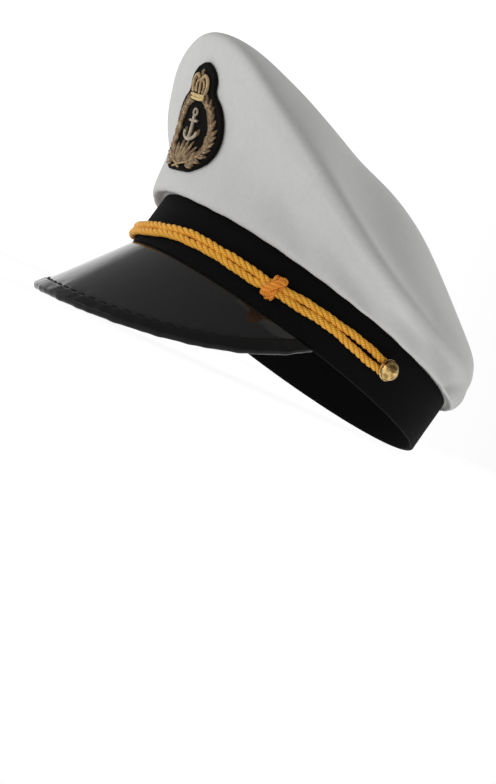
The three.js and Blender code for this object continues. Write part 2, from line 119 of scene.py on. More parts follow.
# Soft creases of the cloth: angle and level at both ends, half width in mm, depth in mm, raised if below 0
CROWN_CREASES = [
    (40, 3.2, 64, 1.9, 6.0, 0.55),
    (62, 3.5, 86, 2.0, 6.5, 0.6),
    (84, 3.4, 104, 2.1, 6.0, 0.5),
    (117, 1.7, 133, 3.2, 4.5, 0.9),
    (138, 1.6, 141, 2.6, 4.0, 0.5),
    (100, 4.4, 124, 4.0, 9.0, 0.55),
    (104, 2.7, 47, 5.4, 14.0, -3.2),
    (-106, 2.9, -50, 5.3, 15.0, -2.4),
    (28, 2.9, 33, 1.7, 7.0, 0.4),
    (-38, 3.3, -60, 1.9, 6.0, 0.5),
    (-66, 3.4, -90, 2.1, 6.5, 0.6),
    (-112, 1.8, -128, 3.1, 5.0, 0.8),
    (-150, 1.7, -146, 3.0, 5.0, 0.55),
    (168, 1.8, 172, 3.0, 6.0, 0.5),
    (-95, 4.2, -122, 3.9, 9.0, 0.5),
    (150, 4.6, 178, 4.4, 9.0, 0.5),
]

COLUMNS_AROUND = 288
TOP_LEVEL = 5.0
LAST_LEVEL = len(CROWN_RINGS) + 2


# Places in the cap's own frame, in millimetres, and the turn to the frame that it rests in

def to_row(points):
    points = np.asarray(points, float)
    cosine = math.cos(REST_TILT)
    sine = math.sin(REST_TILT)
    y = points[..., 1] * cosine - points[..., 2] * sine
    z = points[..., 1] * sine + points[..., 2] * cosine
    return (np.stack([points[..., 0], y, z], -1) + REST_MOVE) * 0.001


def unit(vectors):
    return vectors / np.maximum(np.linalg.norm(vectors, axis=-1, keepdims=True), 1e-12)


def smoothstep(value, low, high):
    share = np.clip((value - low) / (high - low), 0.0, 1.0)
    return share * share * (3.0 - 2.0 * share)


def curve_between(p0, p1, p2, p3, share):
    """The point at a share of the smooth curve from p1 to p2, with their neighbors p0 and p3."""
    square = (2 * p0 - 5 * p1 + 4 * p2 - p3) * share ** 2
    cube = (3 * p1 - p0 - 3 * p2 + p3) * share ** 3
    return (2 * p1 + (p2 - p0) * share + square + cube) / 2


def lengths_along(points):
    """The distance run at each point of a path."""
    return np.concatenate([[0], np.cumsum(np.linalg.norm(np.diff(points, axis=0), axis=1))])


def around_band(angle, outward, height):
    angle, outward, height = np.broadcast_arrays(angle, outward, height)
    normal = band_normal(angle)
    x = BAND_HALF_WIDTH * np.sin(angle) + outward * normal[..., 0]
    y = -BAND_HALF_LENGTH * np.cos(angle) + outward * normal[..., 1]
    return np.stack([x, y, height + 0.0 * x], -1)


def band_normal(angle):
    x = np.sin(angle) / BAND_HALF_WIDTH
    y = -np.cos(angle) / BAND_HALF_LENGTH
    return unit(np.stack([x, y, 0.0 * x], -1))


def ring_sizes():
    top = BAND_HEIGHT + SEAM
    rows = []
    for outward in (SEAM - BAND_WALL, 3 * SEAM):
        half_length = BAND_HALF_LENGTH + outward
        rows.append((BAND_HALF_WIDTH + outward, half_length, half_length, top, top, top))
    for span, side, front, back, front_up, side_up, back_up in CROWN_RINGS:
        rows.append((
            span * BAND_HALF_WIDTH + side * SIDE_OVERHANG,
            span * BAND_HALF_LENGTH + front * CROWN_LEAN,
            span * BAND_HALF_LENGTH + back * BACK_OVERHANG,
            BAND_HEIGHT + front_up * CROWN_RISE,
            BAND_HEIGHT + side_up * CROWN_RISE,
            BAND_HEIGHT + back_up * CROWN_RISE,
        ))
    apex = BAND_HEIGHT + APEX_UP * CROWN_RISE
    rows.append((0.0, APEX_FORWARD, -APEX_FORWARD, apex, apex, apex))
    last = rows[-2]
    rows.append((-last[0], 2 * APEX_FORWARD - last[1], -2 * APEX_FORWARD - last[2], *last[3:]))
    return np.array(rows)


RINGS = ring_sizes()


def ring_values(level):
    first = np.minimum(np.floor(level).astype(int), LAST_LEVEL - 1)
    share = (level - first)[..., None]
    before = np.maximum(first - 1, 0)
    return curve_between(RINGS[before], RINGS[first], RINGS[first + 1], RINGS[first + 2], share)


def crown_smooth(level, angle):
    level, angle = np.broadcast_arrays(np.asarray(level, float), angle)
    side, front, back, front_up, side_up, back_up = np.moveaxis(ring_values(level), -1, 0)
    toward_front = np.maximum(np.cos(angle), 0) ** 2
    toward_back = np.maximum(-np.cos(angle), 0) ** 2
    up = side_up + (front_up - side_up) * toward_front + (back_up - side_up) * toward_back
    forward = (front + back) / 2 * np.cos(angle) + (front - back) / 2
    return np.stack([side * np.sin(angle), -forward, up], -1)


def crown_normal(level, angle):
    level, angle = np.broadcast_arrays(np.asarray(level, float), angle)
    step = 0.01
    low = np.maximum(level - step, 0.0)
    high = np.minimum(level + step, LAST_LEVEL)
    up = crown_smooth(high, angle) - crown_smooth(low, angle)
    around = crown_smooth(level, angle + step) - crown_smooth(level, angle - step)
    normal = unit(np.cross(around, up))
    at_top = (level > LAST_LEVEL - step)[..., None]
    return np.where(at_top, np.array([0.0, 0.0, 1.0]), normal)


def dent_depth(level, angle):
    depth = 0.0 * level * angle
    for place, height, wide, tall, deep in CROWN_DENTS:
        turn = (angle - math.radians(place) + math.pi) % (2 * math.pi) - math.pi
        across = turn / math.radians(wide)
        along = (level - height) / tall
        depth = depth + deep * FOLD_DEPTH * np.exp(-across ** 2 - along ** 2)
    return depth * smoothstep(level, 1.0, 2.0)


def crease_depth(level, angle):
    """Soft creases and a slow waviness, drawn on the crown laid flat: 1.6 mm a degree, 20 mm a ring."""
    depth = 0.0 * level * angle
    for angle_a, level_a, angle_b, level_b, wide, deep in CROWN_CREASES:
        middle = math.radians((angle_a + angle_b) / 2)
        turn = (angle - middle + math.pi) % (2 * math.pi) - math.pi
        x = np.degrees(turn) * 1.6
        y = (level - (level_a + level_b) / 2) * 20.0
        run = np.array([(angle_b - angle_a) * 1.6, (level_b - level_a) * 20.0])
        length = np.linalg.norm(run)
        run = run / length
        along = (x * run[0] + y * run[1]) / (length / 2)
        across = (x * run[1] - y * run[0]) / wide
        groove = np.exp(-across ** 2) - 0.55 * np.exp(-((across - 1.9) / 1.1) ** 2)
        depth = depth + deep * groove * np.exp(-along ** 4)
    wave = 0.22 * np.sin(3 * angle + 1.9 * level) + 0.16 * np.sin(7 * angle - 2.6 * level + 0.8)
    wave = wave + 0.1 * np.sin(13 * angle + 3.4 * level + 2.0)
    gathers = 0.16 * np.sin(41 * angle + 0.6 * np.sin(5 * angle)) * np.exp(-((level - 1.6) / 0.55) ** 2)
    fade = smoothstep(level, 1.05, 1.9) * (1.0 - smoothstep(level, 5.6, 6.9))
    return (depth + wave + gathers) * fade


def crown_surface(level, angle, inward=0.0, creased=True):
    depth = dent_depth(level, angle) + inward
    if creased:
        depth = depth + crease_depth(level, angle)
    return crown_smooth(level, angle) - crown_normal(level, angle) * depth[..., None]


# Mesh helpers

def ring_quads(rows, count):
    """Corners as pairs of row and column for the faces between closed rings of points."""
    for row in range(rows - 1):
        for column in range(count):
            yield (row, column), (row, column + 1), (row + 1, column + 1), (row + 1, column)


class Shape:
    """Collects grids of points into one mesh."""

    def __init__(self):
        self.vertices = []
        self.faces = []
        self.uvs = []
        self.count = 0

    def grid(self, points, uv=None, loop_rows=False, loop_columns=False):
        rows, columns = points.shape[:2]
        row_count = rows if loop_rows else rows - 1
        column_count = columns if loop_columns else columns - 1
        row, column = np.meshgrid(np.arange(row_count), np.arange(column_count), indexing="ij")
        next_row = (row + 1) % rows
        next_column = (column + 1) % columns
        quads = np.stack([
            row * columns + column,
            row * columns + next_column,
            next_row * columns + next_column,
            next_row * columns + column,
        ], -1)
        if uv is None:
            v, u = np.meshgrid(np.arange(rows + 1.0), np.arange(columns + 1.0), indexing="ij")
            uv = np.stack([u, v], -1)
        around = ((0, 0), (0, 1), (1, 1), (1, 0))
        corners = np.stack([uv[row + down, column + across] for down, across in around], -2)
        self.vertices.append(points.reshape(-1, 3))
        self.faces.extend((quads.reshape(-1, 4) + self.count).tolist())
        self.uvs.append(corners.reshape(-1, 2))
        self.count += rows * columns
        return self

    def cap_ends(self, rows, columns):
        """Closes the first and the last column of a grid whose rows loop."""
        for column, step in ((0, -1), (columns - 1, 1)):
            self.faces.append([row * columns + column for row in range(rows)][::step])
            self.uvs.append(np.zeros((rows, 2)))
        return self

    def build(self, name, merge=None):
        mesh = bpy.data.meshes.new(name)
        vertices = to_row(np.concatenate(self.vertices))
        mesh.from_pydata(vertices.tolist(), [], self.faces)
        layer = mesh.uv_layers.new(name="UVMap")
        layer.data.foreach_set("uv", np.concatenate(self.uvs).astype(np.float32).ravel())
        return finish_mesh(name, mesh, merge)


def finish_mesh(name, mesh, merge=None):
    """Welds, turns the faces outward and shades smooth."""
    import bmesh
    work = bmesh.new()
    work.from_mesh(mesh)
    if merge:
        bmesh.ops.remove_doubles(work, verts=work.verts, dist=merge * 0.001)
        bmesh.ops.dissolve_degenerate(work, edges=work.edges, dist=1e-7)
    if work.calc_volume(signed=True) < 0:
        bmesh.ops.reverse_faces(work, faces=work.faces)
    work.to_mesh(mesh)
    work.free()
    mesh.polygons.foreach_set("use_smooth", np.ones(len(mesh.polygons), bool))
    mesh.update()
    piece = bpy.data.objects.new(name, mesh)
    scene.collection.objects.link(piece)
    return piece


def settle(piece, slot, material, *nodes):
    """Gives a piece its material and its place in the frame."""
    if material is not None:
        piece.data.materials.clear()
        piece.data.materials.append(material)
    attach(piece, "root")
    if nodes:
        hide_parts(*nodes)
    return piece


# Shader helpers

def give(tree, socket, value):
    """Links or sets one input; a color's three numbers get their alpha here."""
    if isinstance(value, bpy.types.NodeSocket):
        tree.links.new(value, socket)
    elif socket.type == "RGBA":
        socket.default_value = (*value, 1.0)
    else:
        socket.default_value = value


def add_node(tree, kind, inputs=None, **settings):
    node = tree.nodes.new(kind)
    for key, value in settings.items():
        setattr(node, key, value)
    for key, value in (inputs or {}).items():
        give(tree, node.inputs[key], value)
    return node


def maths(tree, operation, *values):
    return add_node(tree, "ShaderNodeMath", dict(enumerate(values)), operation=operation).outputs[0]


def sine_of(tree, value, rate):
    return maths(tree, "SINE", maths(tree, "MULTIPLY", value, rate))


def combine(tree, **parts):
    return add_node(tree, "ShaderNodeCombineXYZ", parts).outputs[0]


def separate(tree, vector):
    return add_node(tree, "ShaderNodeSeparateXYZ", {0: vector}).outputs


def vector_maths(tree, operation, first, second):
    return add_node(tree, "ShaderNodeVectorMath", {0: first, 1: second}, operation=operation).outputs[0]


def scaled_vector(tree, vector, scale):
    return add_node(tree, "ShaderNodeVectorMath", {0: vector, "Scale": scale}, operation="SCALE").outputs[0]


def new_group(name, kind, inputs, outputs):
    group = bpy.data.node_groups.new(name, kind)
    for label, socket_type, default in inputs:
        socket = group.interface.new_socket(name=label, in_out="INPUT", socket_type=socket_type)
        if default is not None:
            socket.default_value = default
    for label, socket_type in outputs:
        group.interface.new_socket(name=label, in_out="OUTPUT", socket_type=socket_type)
    start = group.nodes.new("NodeGroupInput")
    end = group.nodes.new("NodeGroupOutput")
    return group, start.outputs, end.inputs


def new_material(name, color, roughness, **settings):
    """A new material, its node tree, its shader and its place in the object's own frame."""
    material = bpy.data.materials.new(name)
    material.use_nodes = True
    tree = material.node_tree
    shader = tree.nodes["Principled BSDF"]
    look(tree, shader, Base_Color=color, Roughness=roughness, **settings)
    return material, tree, shader, add_node(tree, "ShaderNodeTexCoord").outputs["Object"]


def look(tree, node, **inputs):
    for key, value in inputs.items():
        give(tree, node.inputs[key.replace("_", " ")], value)


def use_group(tree, group, **inputs):
    node = add_node(tree, "ShaderNodeGroup", node_tree=group)
    look(tree, node, **inputs)
    return node.outputs


def woven_material(name, color, roughness, sheen, fuzz, level):
    """A matt cloth; the sheen's weight and roughness and the specular level are constants."""
    return new_material(
        name, color, roughness, Sheen_Weight=sheen, Sheen_Roughness=fuzz, Specular_IOR_Level=level
    )


def cloth_place(tree):
    return add_node(tree, "ShaderNodeUVMap", uv_map="UVMap").outputs["UV"]


def mix_colors(tree, factor, first, second):
    return add_node(tree, "ShaderNodeMix", {0: factor, 6: first, 7: second}, data_type="RGBA").outputs[2]


def plain_weave_group():
    """Over-and-under threads on the laid-flat cloth, given in metres."""
    group, given, made = new_group(
        "plain_weave",
        "ShaderNodeTree",
        [("Cloth", "NodeSocketVector", None), ("Threads per metre", "NodeSocketFloat", 2000.0)],
        [("Height", "NodeSocketFloat")],
    )
    parts = separate(group, scaled_vector(group, given["Cloth"], given["Threads per metre"]))
    heights = []
    for along, across, shift in (("X", "Y", 0.0), ("Y", "X", 1.0)):
        thread = maths(group, "ABSOLUTE", sine_of(group, parts[along], math.pi))
        column = maths(group, "FLOOR", parts[along])
        phase = maths(group, "ADD", maths(group, "ADD", parts[across], column), shift)
        over = sine_of(group, phase, math.pi)
        heights.append(maths(group, "MULTIPLY", thread, maths(group, "MULTIPLY_ADD", over, 0.5, 0.5)))
    group.links.new(maths(group, "MAXIMUM", *heights), made["Height"])
    return group


def twill_group():
    """Fine slanting ribs on the laid-flat cloth, given in metres."""
    group, given, made = new_group(
        "twill",
        "ShaderNodeTree",
        [("Cloth", "NodeSocketVector", None), ("Ribs per metre", "NodeSocketFloat", 1200.0)],
        [("Height", "NodeSocketFloat")],
    )
    parts = separate(group, scaled_vector(group, given["Cloth"], given["Ribs per metre"]))
    slant = maths(group, "ADD", parts["X"], parts["Y"])
    rib = maths(group, "ABSOLUTE", sine_of(group, slant, math.pi))
    cross = sine_of(group, parts["Y"], 4 * math.pi)
    group.links.new(maths(group, "MULTIPLY_ADD", cross, 0.12, rib), made["Height"])
    return group


def yarn_group():
    """Twisted fibres round a ply, from the ply's stored turn and run."""
    group, given, made = new_group(
        "yarn",
        "ShaderNodeTree",
        [
            ("Around", "NodeSocketVector", None),
            ("Fibres", "NodeSocketFloat", 5.0),
            ("Run per turn", "NodeSocketFloat", 0.004),
        ],
        [("Height", "NodeSocketFloat")],
    )
    parts = separate(group, given["Around"])
    turn = maths(group, "ARCTAN2", parts["Y"], parts["X"])
    run = maths(group, "DIVIDE", parts["Z"], given["Run per turn"])
    phase = maths(group, "MULTIPLY_ADD", run, 2 * math.pi, turn)
    wave = sine_of(group, phase, given["Fibres"])
    group.links.new(maths(group, "MULTIPLY_ADD", wave, 0.5, 0.5), made["Height"])
    return group


def noise(tree, vector, scale, detail=3.0, roughness=0.55):
    inputs = {"Vector": vector, "Scale": scale, "Detail": detail, "Roughness": roughness}
    return add_node(tree, "ShaderNodeTexNoise", inputs).outputs["Fac"]


def bump(tree, height, strength, distance, normal=None):
    inputs = {"Height": height, "Strength": strength, "Distance": distance}
    if normal is not None:
        inputs["Normal"] = normal
    return add_node(tree, "ShaderNodeBump", inputs).outputs["Normal"]


def remap(tree, value, from_low, from_high, to_low, to_high):
    limits = {"From Min": from_low, "From Max": from_high, "To Min": to_low, "To Max": to_high}
    return add_node(tree, "ShaderNodeMapRange", {"Value": value, **limits}).outputs["Result"]


def blend(tree, value, low, high, first, second):
    """The first color where the value is low, the second where it is high."""
    return mix_colors(tree, remap(tree, value, low, high, 0.0, 1.0), first, second)


def white_cloth(weave):
    material, tree, shader, place = woven_material("white_cotton", (0.7, 0.7, 0.69), 0.82, 0.05, 0.45, 0.25)
    height = use_group(tree, weave, Cloth=cloth_place(tree), Threads_per_metre=2100.0)["Height"]
    slub = noise(tree, place, 420.0, 2.0)
    shade = maths(tree, "MULTIPLY_ADD", noise(tree, place, 45.0), 0.5, maths(tree, "MULTIPLY", slub, 0.5))
    tint = blend(tree, shade, 0.3, 0.7, (0.55, 0.55, 0.542), (0.615, 0.615, 0.604))
    rumple = bump(tree, noise(tree, place, 28.0, 2.0), 0.35, 0.0012)
    crumple = bump(tree, slub, 0.25, 0.0003, rumple)
    # Painted shade in the weave: the colour darkens where its threads dip under each other.
    look(
        tree,
        shader,
        Base_Color=blend(tree, height, 0.0, 0.6, (0.5, 0.5, 0.493), tint),
        Normal=bump(tree, height, 0.35, 0.00012, crumple),
    )
    return material


def black_cloth(twill):
    material, tree, shader, place = woven_material("black_twill", (0.006, 0.006, 0.0065), 0.9, 0.012, 0.4, 0.05)
    height = use_group(tree, twill, Cloth=cloth_place(tree), Ribs_per_metre=1150.0)["Height"]
    lint = noise(tree, place, 900.0, 4.0, 0.7)
    # Painted shade: the twill is darker in the troughs between its ribs.
    tint = blend(tree, height, 0.0, 1.0, (0.0022, 0.0022, 0.0024), (0.0065, 0.0065, 0.0068))
    look(
        tree,
        shader,
        Base_Color=mix_colors(tree, remap(tree, lint, 0.64, 0.78, 0.0, 0.4), tint, (0.02, 0.02, 0.021)),
        Normal=bump(tree, height, 0.5, 0.0002, bump(tree, lint, 0.35, 0.0002)),
    )
    return material


def patent(name, wrinkle, low, high, **gloss):
    """Black sheet with its roughness from low to high and its fine wrinkles per metre."""
    material, tree, shader, place = new_material(name, (0.012, 0.0125, 0.012), low, **gloss)
    smear = noise(tree, place, 60.0, 5.0, 0.65)
    dust = noise(tree, place, 1500.0, 2.0, 0.7)
    slow = bump(tree, noise(tree, place, 18.0, 1.5), 0.5, 0.0022)
    dusty = remap(tree, dust, 0.7, 0.82, 0.0, 0.5)
    smeared = remap(tree, smear, 0.35, 0.75, low, high)
    look(
        tree,
        shader,
        Roughness=maths(tree, "ADD", smeared, remap(tree, dust, 0.66, 0.8, 0.0, 0.12)),
        Base_Color=mix_colors(tree, dusty, (0.011, 0.0115, 0.011), (0.05, 0.05, 0.048)),
        Normal=bump(tree, noise(tree, place, wrinkle, 2.0), wrinkle / 1000.0, 0.0005, slow),
    )
    return material


def gold_yarn(name, yarn, fibres, run, light, dark):
    """Twisted yarn from light to dark with painted shade in the troughs of its fibres, and darker painted shade
    still in the grooves between its plies.
    """
    material, tree, shader, place = woven_material(name, light, 0.5, 0.08, 0.4, 0.35)
    around = add_node(tree, "ShaderNodeAttribute", attribute_name="around").outputs["Vector"]
    crest = add_node(tree, "ShaderNodeAttribute", attribute_name="crest").outputs["Vector"]
    height = use_group(tree, yarn, Around=around, Fibres=fibres, Run_per_turn=run)["Height"]
    uneven = noise(tree, place, 260.0)
    # Painted shade: the fibres' troughs take the dark colour, their crests the light one.
    tint = blend(tree, height, 0.05, 0.75, dark, light)
    patchy = mix_colors(tree, remap(tree, uneven, 0.4, 0.7, 0.0, 0.4), tint, dark)
    # Painted shade in the grooves between the plies, where they lie close to the cord's middle.
    groove = remap(tree, separate(tree, crest)["X"], 0.62, 0.86, 0.9, 0.0)
    look(
        tree,
        shader,
        Base_Color=mix_colors(tree, groove, patchy, tuple(0.45 * part for part in dark)),
        Roughness=remap(tree, height, 0.0, 1.0, 0.62, 0.42),
        Normal=bump(tree, height, 0.75, 0.00025, bump(tree, uneven, 0.5, 0.0005)),
    )
    return material


def polished_brass():
    """Thin pressed brass, gone dull in places and slightly dented; its darker brown patches are painted dark
    reflections.
    """
    material, tree, shader, place = new_material("gilt_button", (0.6, 0.4, 0.15), 0.16, Metallic=1.0)
    haze = noise(tree, place, 700.0, 4.0, 0.6)
    patchy = noise(tree, place, 330.0, 2.0, 0.6)
    dents = bump(tree, noise(tree, place, 240.0, 1.0), 0.5, 0.0012)
    # Painted reflection: darker brown patches stand in for dark surroundings mirrored in the brass.
    painted_dark_reflection = remap(tree, patchy, 0.44, 0.6, 0.0, 0.85)
    look(
        tree,
        shader,
        Roughness=remap(tree, haze, 0.35, 0.75, 0.1, 0.28),
        Base_Color=mix_colors(tree, painted_dark_reflection, (0.74, 0.52, 0.22), (0.26, 0.15, 0.035)),
        Normal=bump(tree, haze, 0.08, 0.0002, dents),
    )
    return material


def black_felt():
    material, tree, shader, place = woven_material("black_felt", (0.005, 0.0045, 0.004), 0.95, 0.015, 0.5, 0.05)
    fibre = noise(tree, place, 1800.0, 5.0, 0.75)
    look(
        tree,
        shader,
        Base_Color=blend(tree, fibre, 0.35, 0.75, (0.002, 0.0018, 0.0015), (0.011, 0.01, 0.009)),
        Normal=bump(tree, fibre, 0.8, 0.0005),
    )
    return material


def metal_thread():
    """Close-laid metallic thread, across each leaf and along each line, uneven from leaf to leaf, with painted
    highlights on the threads' crests and painted shade in their troughs and down each leaf's middle.
    """
    material, tree, shader, place = new_material(
        "bronze_gold_thread", (0.62, 0.42, 0.2), 0.3, Metallic=0.75, Sheen_Weight=0.05, Sheen_Roughness=0.4
    )
    parts = separate(tree, cloth_place(tree))
    slant = maths(tree, "MULTIPLY_ADD", parts["X"], 0.6, parts["Y"])
    wave = sine_of(tree, slant, 2 * math.pi / 0.5)
    height = maths(tree, "MULTIPLY_ADD", wave, 0.5, 0.5)
    uneven = noise(tree, place, 900.0)
    patches = noise(tree, place, 260.0, 2.0, 0.6)
    # Painted highlight and shade: pale gold on each thread's crest, dark brown in its troughs.
    color = blend(tree, height, 0.05, 0.6, (0.24, 0.1, 0.03), (1.0, 0.84, 0.54))
    for share, random_dark_and_painted_shade in (
        (remap(tree, uneven, 0.42, 0.62, 0.0, 0.8), (0.2, 0.1, 0.04)),
        (remap(tree, patches, 0.45, 0.62, 0.0, 0.6), (0.14, 0.055, 0.022)),
        # Painted shade down the middle of each leaf, along its groove.
        (remap(tree, parts["X"], 0.1, 0.75, 0.85, 0.0), (0.07, 0.028, 0.01)),
    ):
        color = mix_colors(tree, share, color, random_dark_and_painted_shade)
    look(
        tree,
        shader,
        Base_Color=color,
        Roughness=remap(tree, uneven, 0.3, 0.7, 0.22, 0.45),
        Normal=bump(tree, height, 1.0, 0.0003, bump(tree, uneven, 0.5, 0.0003)),
    )
    return material


# Geometry node trees

def twisted_cord_tree():
    """Three plies laid helically round a path, each with its turn and run stored for the shader."""
    tree, given, made = new_group(
        "twisted_cord",
        "GeometryNodeTree",
        [
            ("Path", "NodeSocketGeometry", None),
            ("Ply radius", "NodeSocketFloat", 0.0013),
            ("Ply offset", "NodeSocketFloat", 0.001),
            ("Lay length", "NodeSocketFloat", 0.015),
            ("Step", "NodeSocketFloat", 0.001),
            ("Sides", "NodeSocketInt", 12),
            ("Material", "NodeSocketMaterial", None),
        ],
        [("Cord", "NodeSocketGeometry")],
    )
    path = add_node(tree, "GeometryNodeMeshToCurve", {"Mesh": given["Path"]}).outputs["Curve"]
    even = add_node(tree, "GeometryNodeResampleCurve", {"Curve": path, "Length": given["Step"]}, mode="LENGTH")
    ring = add_node(tree, "GeometryNodeCurvePrimitiveCircle", {"Radius": given["Ply radius"]}, mode="RADIUS")
    tree.links.new(given["Sides"], ring.inputs["Resolution"])
    ring_turn = add_node(tree, "GeometryNodeSplineParameter").outputs["Factor"]
    ring_angle = maths(tree, "MULTIPLY", ring_turn, 2 * math.pi)
    on_ring = combine(tree, X=maths(tree, "COSINE", ring_angle), Y=maths(tree, "SINE", ring_angle))
    ring_mark = store_vector(tree, ring.outputs["Curve"], "ring", on_ring)
    length = add_node(tree, "GeometryNodeSplineParameter").outputs["Length"]
    normal = add_node(tree, "GeometryNodeInputNormal").outputs["Normal"]
    tangent = add_node(tree, "GeometryNodeInputTangent").outputs["Tangent"]
    side = vector_maths(tree, "CROSS_PRODUCT", tangent, normal)
    joined = tree.nodes.new("GeometryNodeJoinGeometry")
    turns = maths(tree, "DIVIDE", length, given["Lay length"])
    for ply in range(3):
        angle = maths(tree, "MULTIPLY_ADD", turns, 2 * math.pi, ply * 2 * math.pi / 3)
        steps = [
            scaled_vector(tree, axis, maths(tree, "MULTIPLY", maths(tree, wave, angle), given["Ply offset"]))
            for axis, wave in ((normal, "COSINE"), (side, "SINE"))
        ]
        offset = vector_maths(tree, "ADD", *steps)
        marked = store_vector(tree, even.outputs["Curve"], "run", combine(tree, Z=length))
        moved = add_node(tree, "GeometryNodeSetPosition", {"Geometry": marked, "Offset": offset})
        inputs = {"Curve": moved.outputs["Geometry"], "Profile Curve": ring_mark}
        tube = add_node(tree, "GeometryNodeCurveToMesh", inputs)
        tube.inputs["Fill Caps"].default_value = True
        tree.links.new(tube.outputs["Mesh"], joined.inputs["Geometry"])
    total = vector_maths(tree, "ADD", stored_vector(tree, "ring"), stored_vector(tree, "run"))
    around = store_vector(tree, joined.outputs["Geometry"], "around", total)
    near = add_node(tree, "GeometryNodeProximity", {"Target": given["Path"]}, target_element="EDGES")
    reach = maths(tree, "ADD", given["Ply radius"], given["Ply offset"])
    share = maths(tree, "DIVIDE", near.outputs["Distance"], reach)
    crest = store_vector(tree, around, "crest", combine(tree, X=share))
    smooth = add_node(tree, "GeometryNodeSetShadeSmooth", {"Geometry": crest}).outputs["Geometry"]
    real = add_node(tree, "GeometryNodeRealizeInstances", {"Geometry": smooth}).outputs["Geometry"]
    end = add_node(tree, "GeometryNodeSetMaterial", {"Geometry": real, "Material": given["Material"]})
    tree.links.new(end.outputs["Geometry"], made["Cord"])
    return tree


def store_vector(tree, geometry, name, value):
    inputs = {"Geometry": geometry, "Name": name, "Value": value}
    settings = {"data_type": "FLOAT_VECTOR", "domain": "POINT"}
    return add_node(tree, "GeometryNodeStoreNamedAttribute", inputs, **settings).outputs["Geometry"]


def stored_vector(tree, name):
    node = add_node(tree, "GeometryNodeInputNamedAttribute", {"Name": name}, data_type="FLOAT_VECTOR")
    return node.outputs["Attribute"]


def scatter_tree():
    """Copies of one small mesh at marked points: out is its up, aim its length, size its scale."""
    tree, given, made = new_group(
        "scattered_copies",
        "GeometryNodeTree",
        [
            ("Points", "NodeSocketGeometry", None),
            ("Copy", "NodeSocketObject", None),
            ("Material", "NodeSocketMaterial", None),
        ],
        [("Copies", "NodeSocketGeometry")],
    )
    copy = add_node(tree, "GeometryNodeObjectInfo", {"Object": given["Copy"]}, transform_space="ORIGINAL")
    read = {name: stored_vector(tree, name) for name in ("out", "aim", "size")}
    turn = add_node(
        tree,
        "FunctionNodeAxesToRotation",
        {"Primary Axis": read["out"], "Secondary Axis": read["aim"]},
        primary_axis="Z",
        secondary_axis="Y",
    ).outputs["Rotation"]
    inputs = {"Points": given["Points"], "Instance": copy.outputs["Geometry"], "Rotation": turn}
    copies = add_node(tree, "GeometryNodeInstanceOnPoints", {**inputs, "Scale": read["size"]}).outputs["Instances"]
    real = add_node(tree, "GeometryNodeRealizeInstances", {"Geometry": copies}).outputs["Geometry"]
    smooth = add_node(tree, "GeometryNodeSetShadeSmooth", {"Geometry": real}).outputs["Geometry"]
    end = add_node(tree, "GeometryNodeSetMaterial", {"Geometry": smooth, "Material": given["Material"]})
    tree.links.new(end.outputs["Geometry"], made["Copies"])
    return tree


def run_tree(name, source, tree, **values):
    """Runs a node tree on a mesh and keeps the result as a plain mesh object."""
    piece = bpy.data.objects.new(name + "_source", source)
    scene.collection.objects.link(piece)
    modifier = piece.modifiers.new("nodes", "NODES")
    modifier.node_group = tree
    for item in tree.interface.items_tree:
        if item.item_type == "SOCKET" and item.in_out == "INPUT":
            key = item.name.lower().replace(" ", "_")
            if key in values:
                modifier[item.identifier] = values[key]
    bpy.context.view_layer.update()
    graph = bpy.context.evaluated_depsgraph_get()
    mesh = bpy.data.meshes.new_from_object(piece.evaluated_get(graph))
    bpy.data.objects.remove(piece)
    mesh.name = name
    made = bpy.data.objects.new(name, mesh)
    scene.collection.objects.link(made)
    return made


def lay_cord(name, points, tree, ply, lay, step, sides, material):
    """Twisted cord along the points, from its plies' radius and offset and their lay, all in metres."""
    mesh = bpy.data.meshes.new(name + "_path")
    edges = [(i, i + 1) for i in range(len(points) - 1)]
    mesh.from_pydata(to_row(points).tolist(), edges, [])
    sizes = {"ply_radius": ply[0], "ply_offset": ply[1], "lay_length": lay, "step": step, "sides": sides}
    return run_tree(name, mesh, tree, **sizes, material=material)


def marked_points(name, places, outs, aims, sizes):
    mesh = bpy.data.meshes.new(name + "_points")
    mesh.from_pydata(to_row(places).tolist(), [], [])
    origin = to_row(np.zeros(3))
    for label, values in (("out", to_row(outs) - origin), ("aim", to_row(aims) - origin), ("size", sizes)):
        layer = mesh.attributes.new(label, "FLOAT_VECTOR", "POINT")
        layer.data.foreach_set("vector", np.asarray(values, np.float32).ravel())
    return mesh


def join_meshes(name, pieces):
    for piece in bpy.context.selected_objects:
        piece.select_set(False)
    for piece in pieces:
        piece.select_set(True)
    bpy.context.view_layer.objects.active = pieces[0]
    bpy.ops.object.join()
    pieces[0].name = name
    pieces[0].data.name = name
    return pieces[0]


# Crown and band

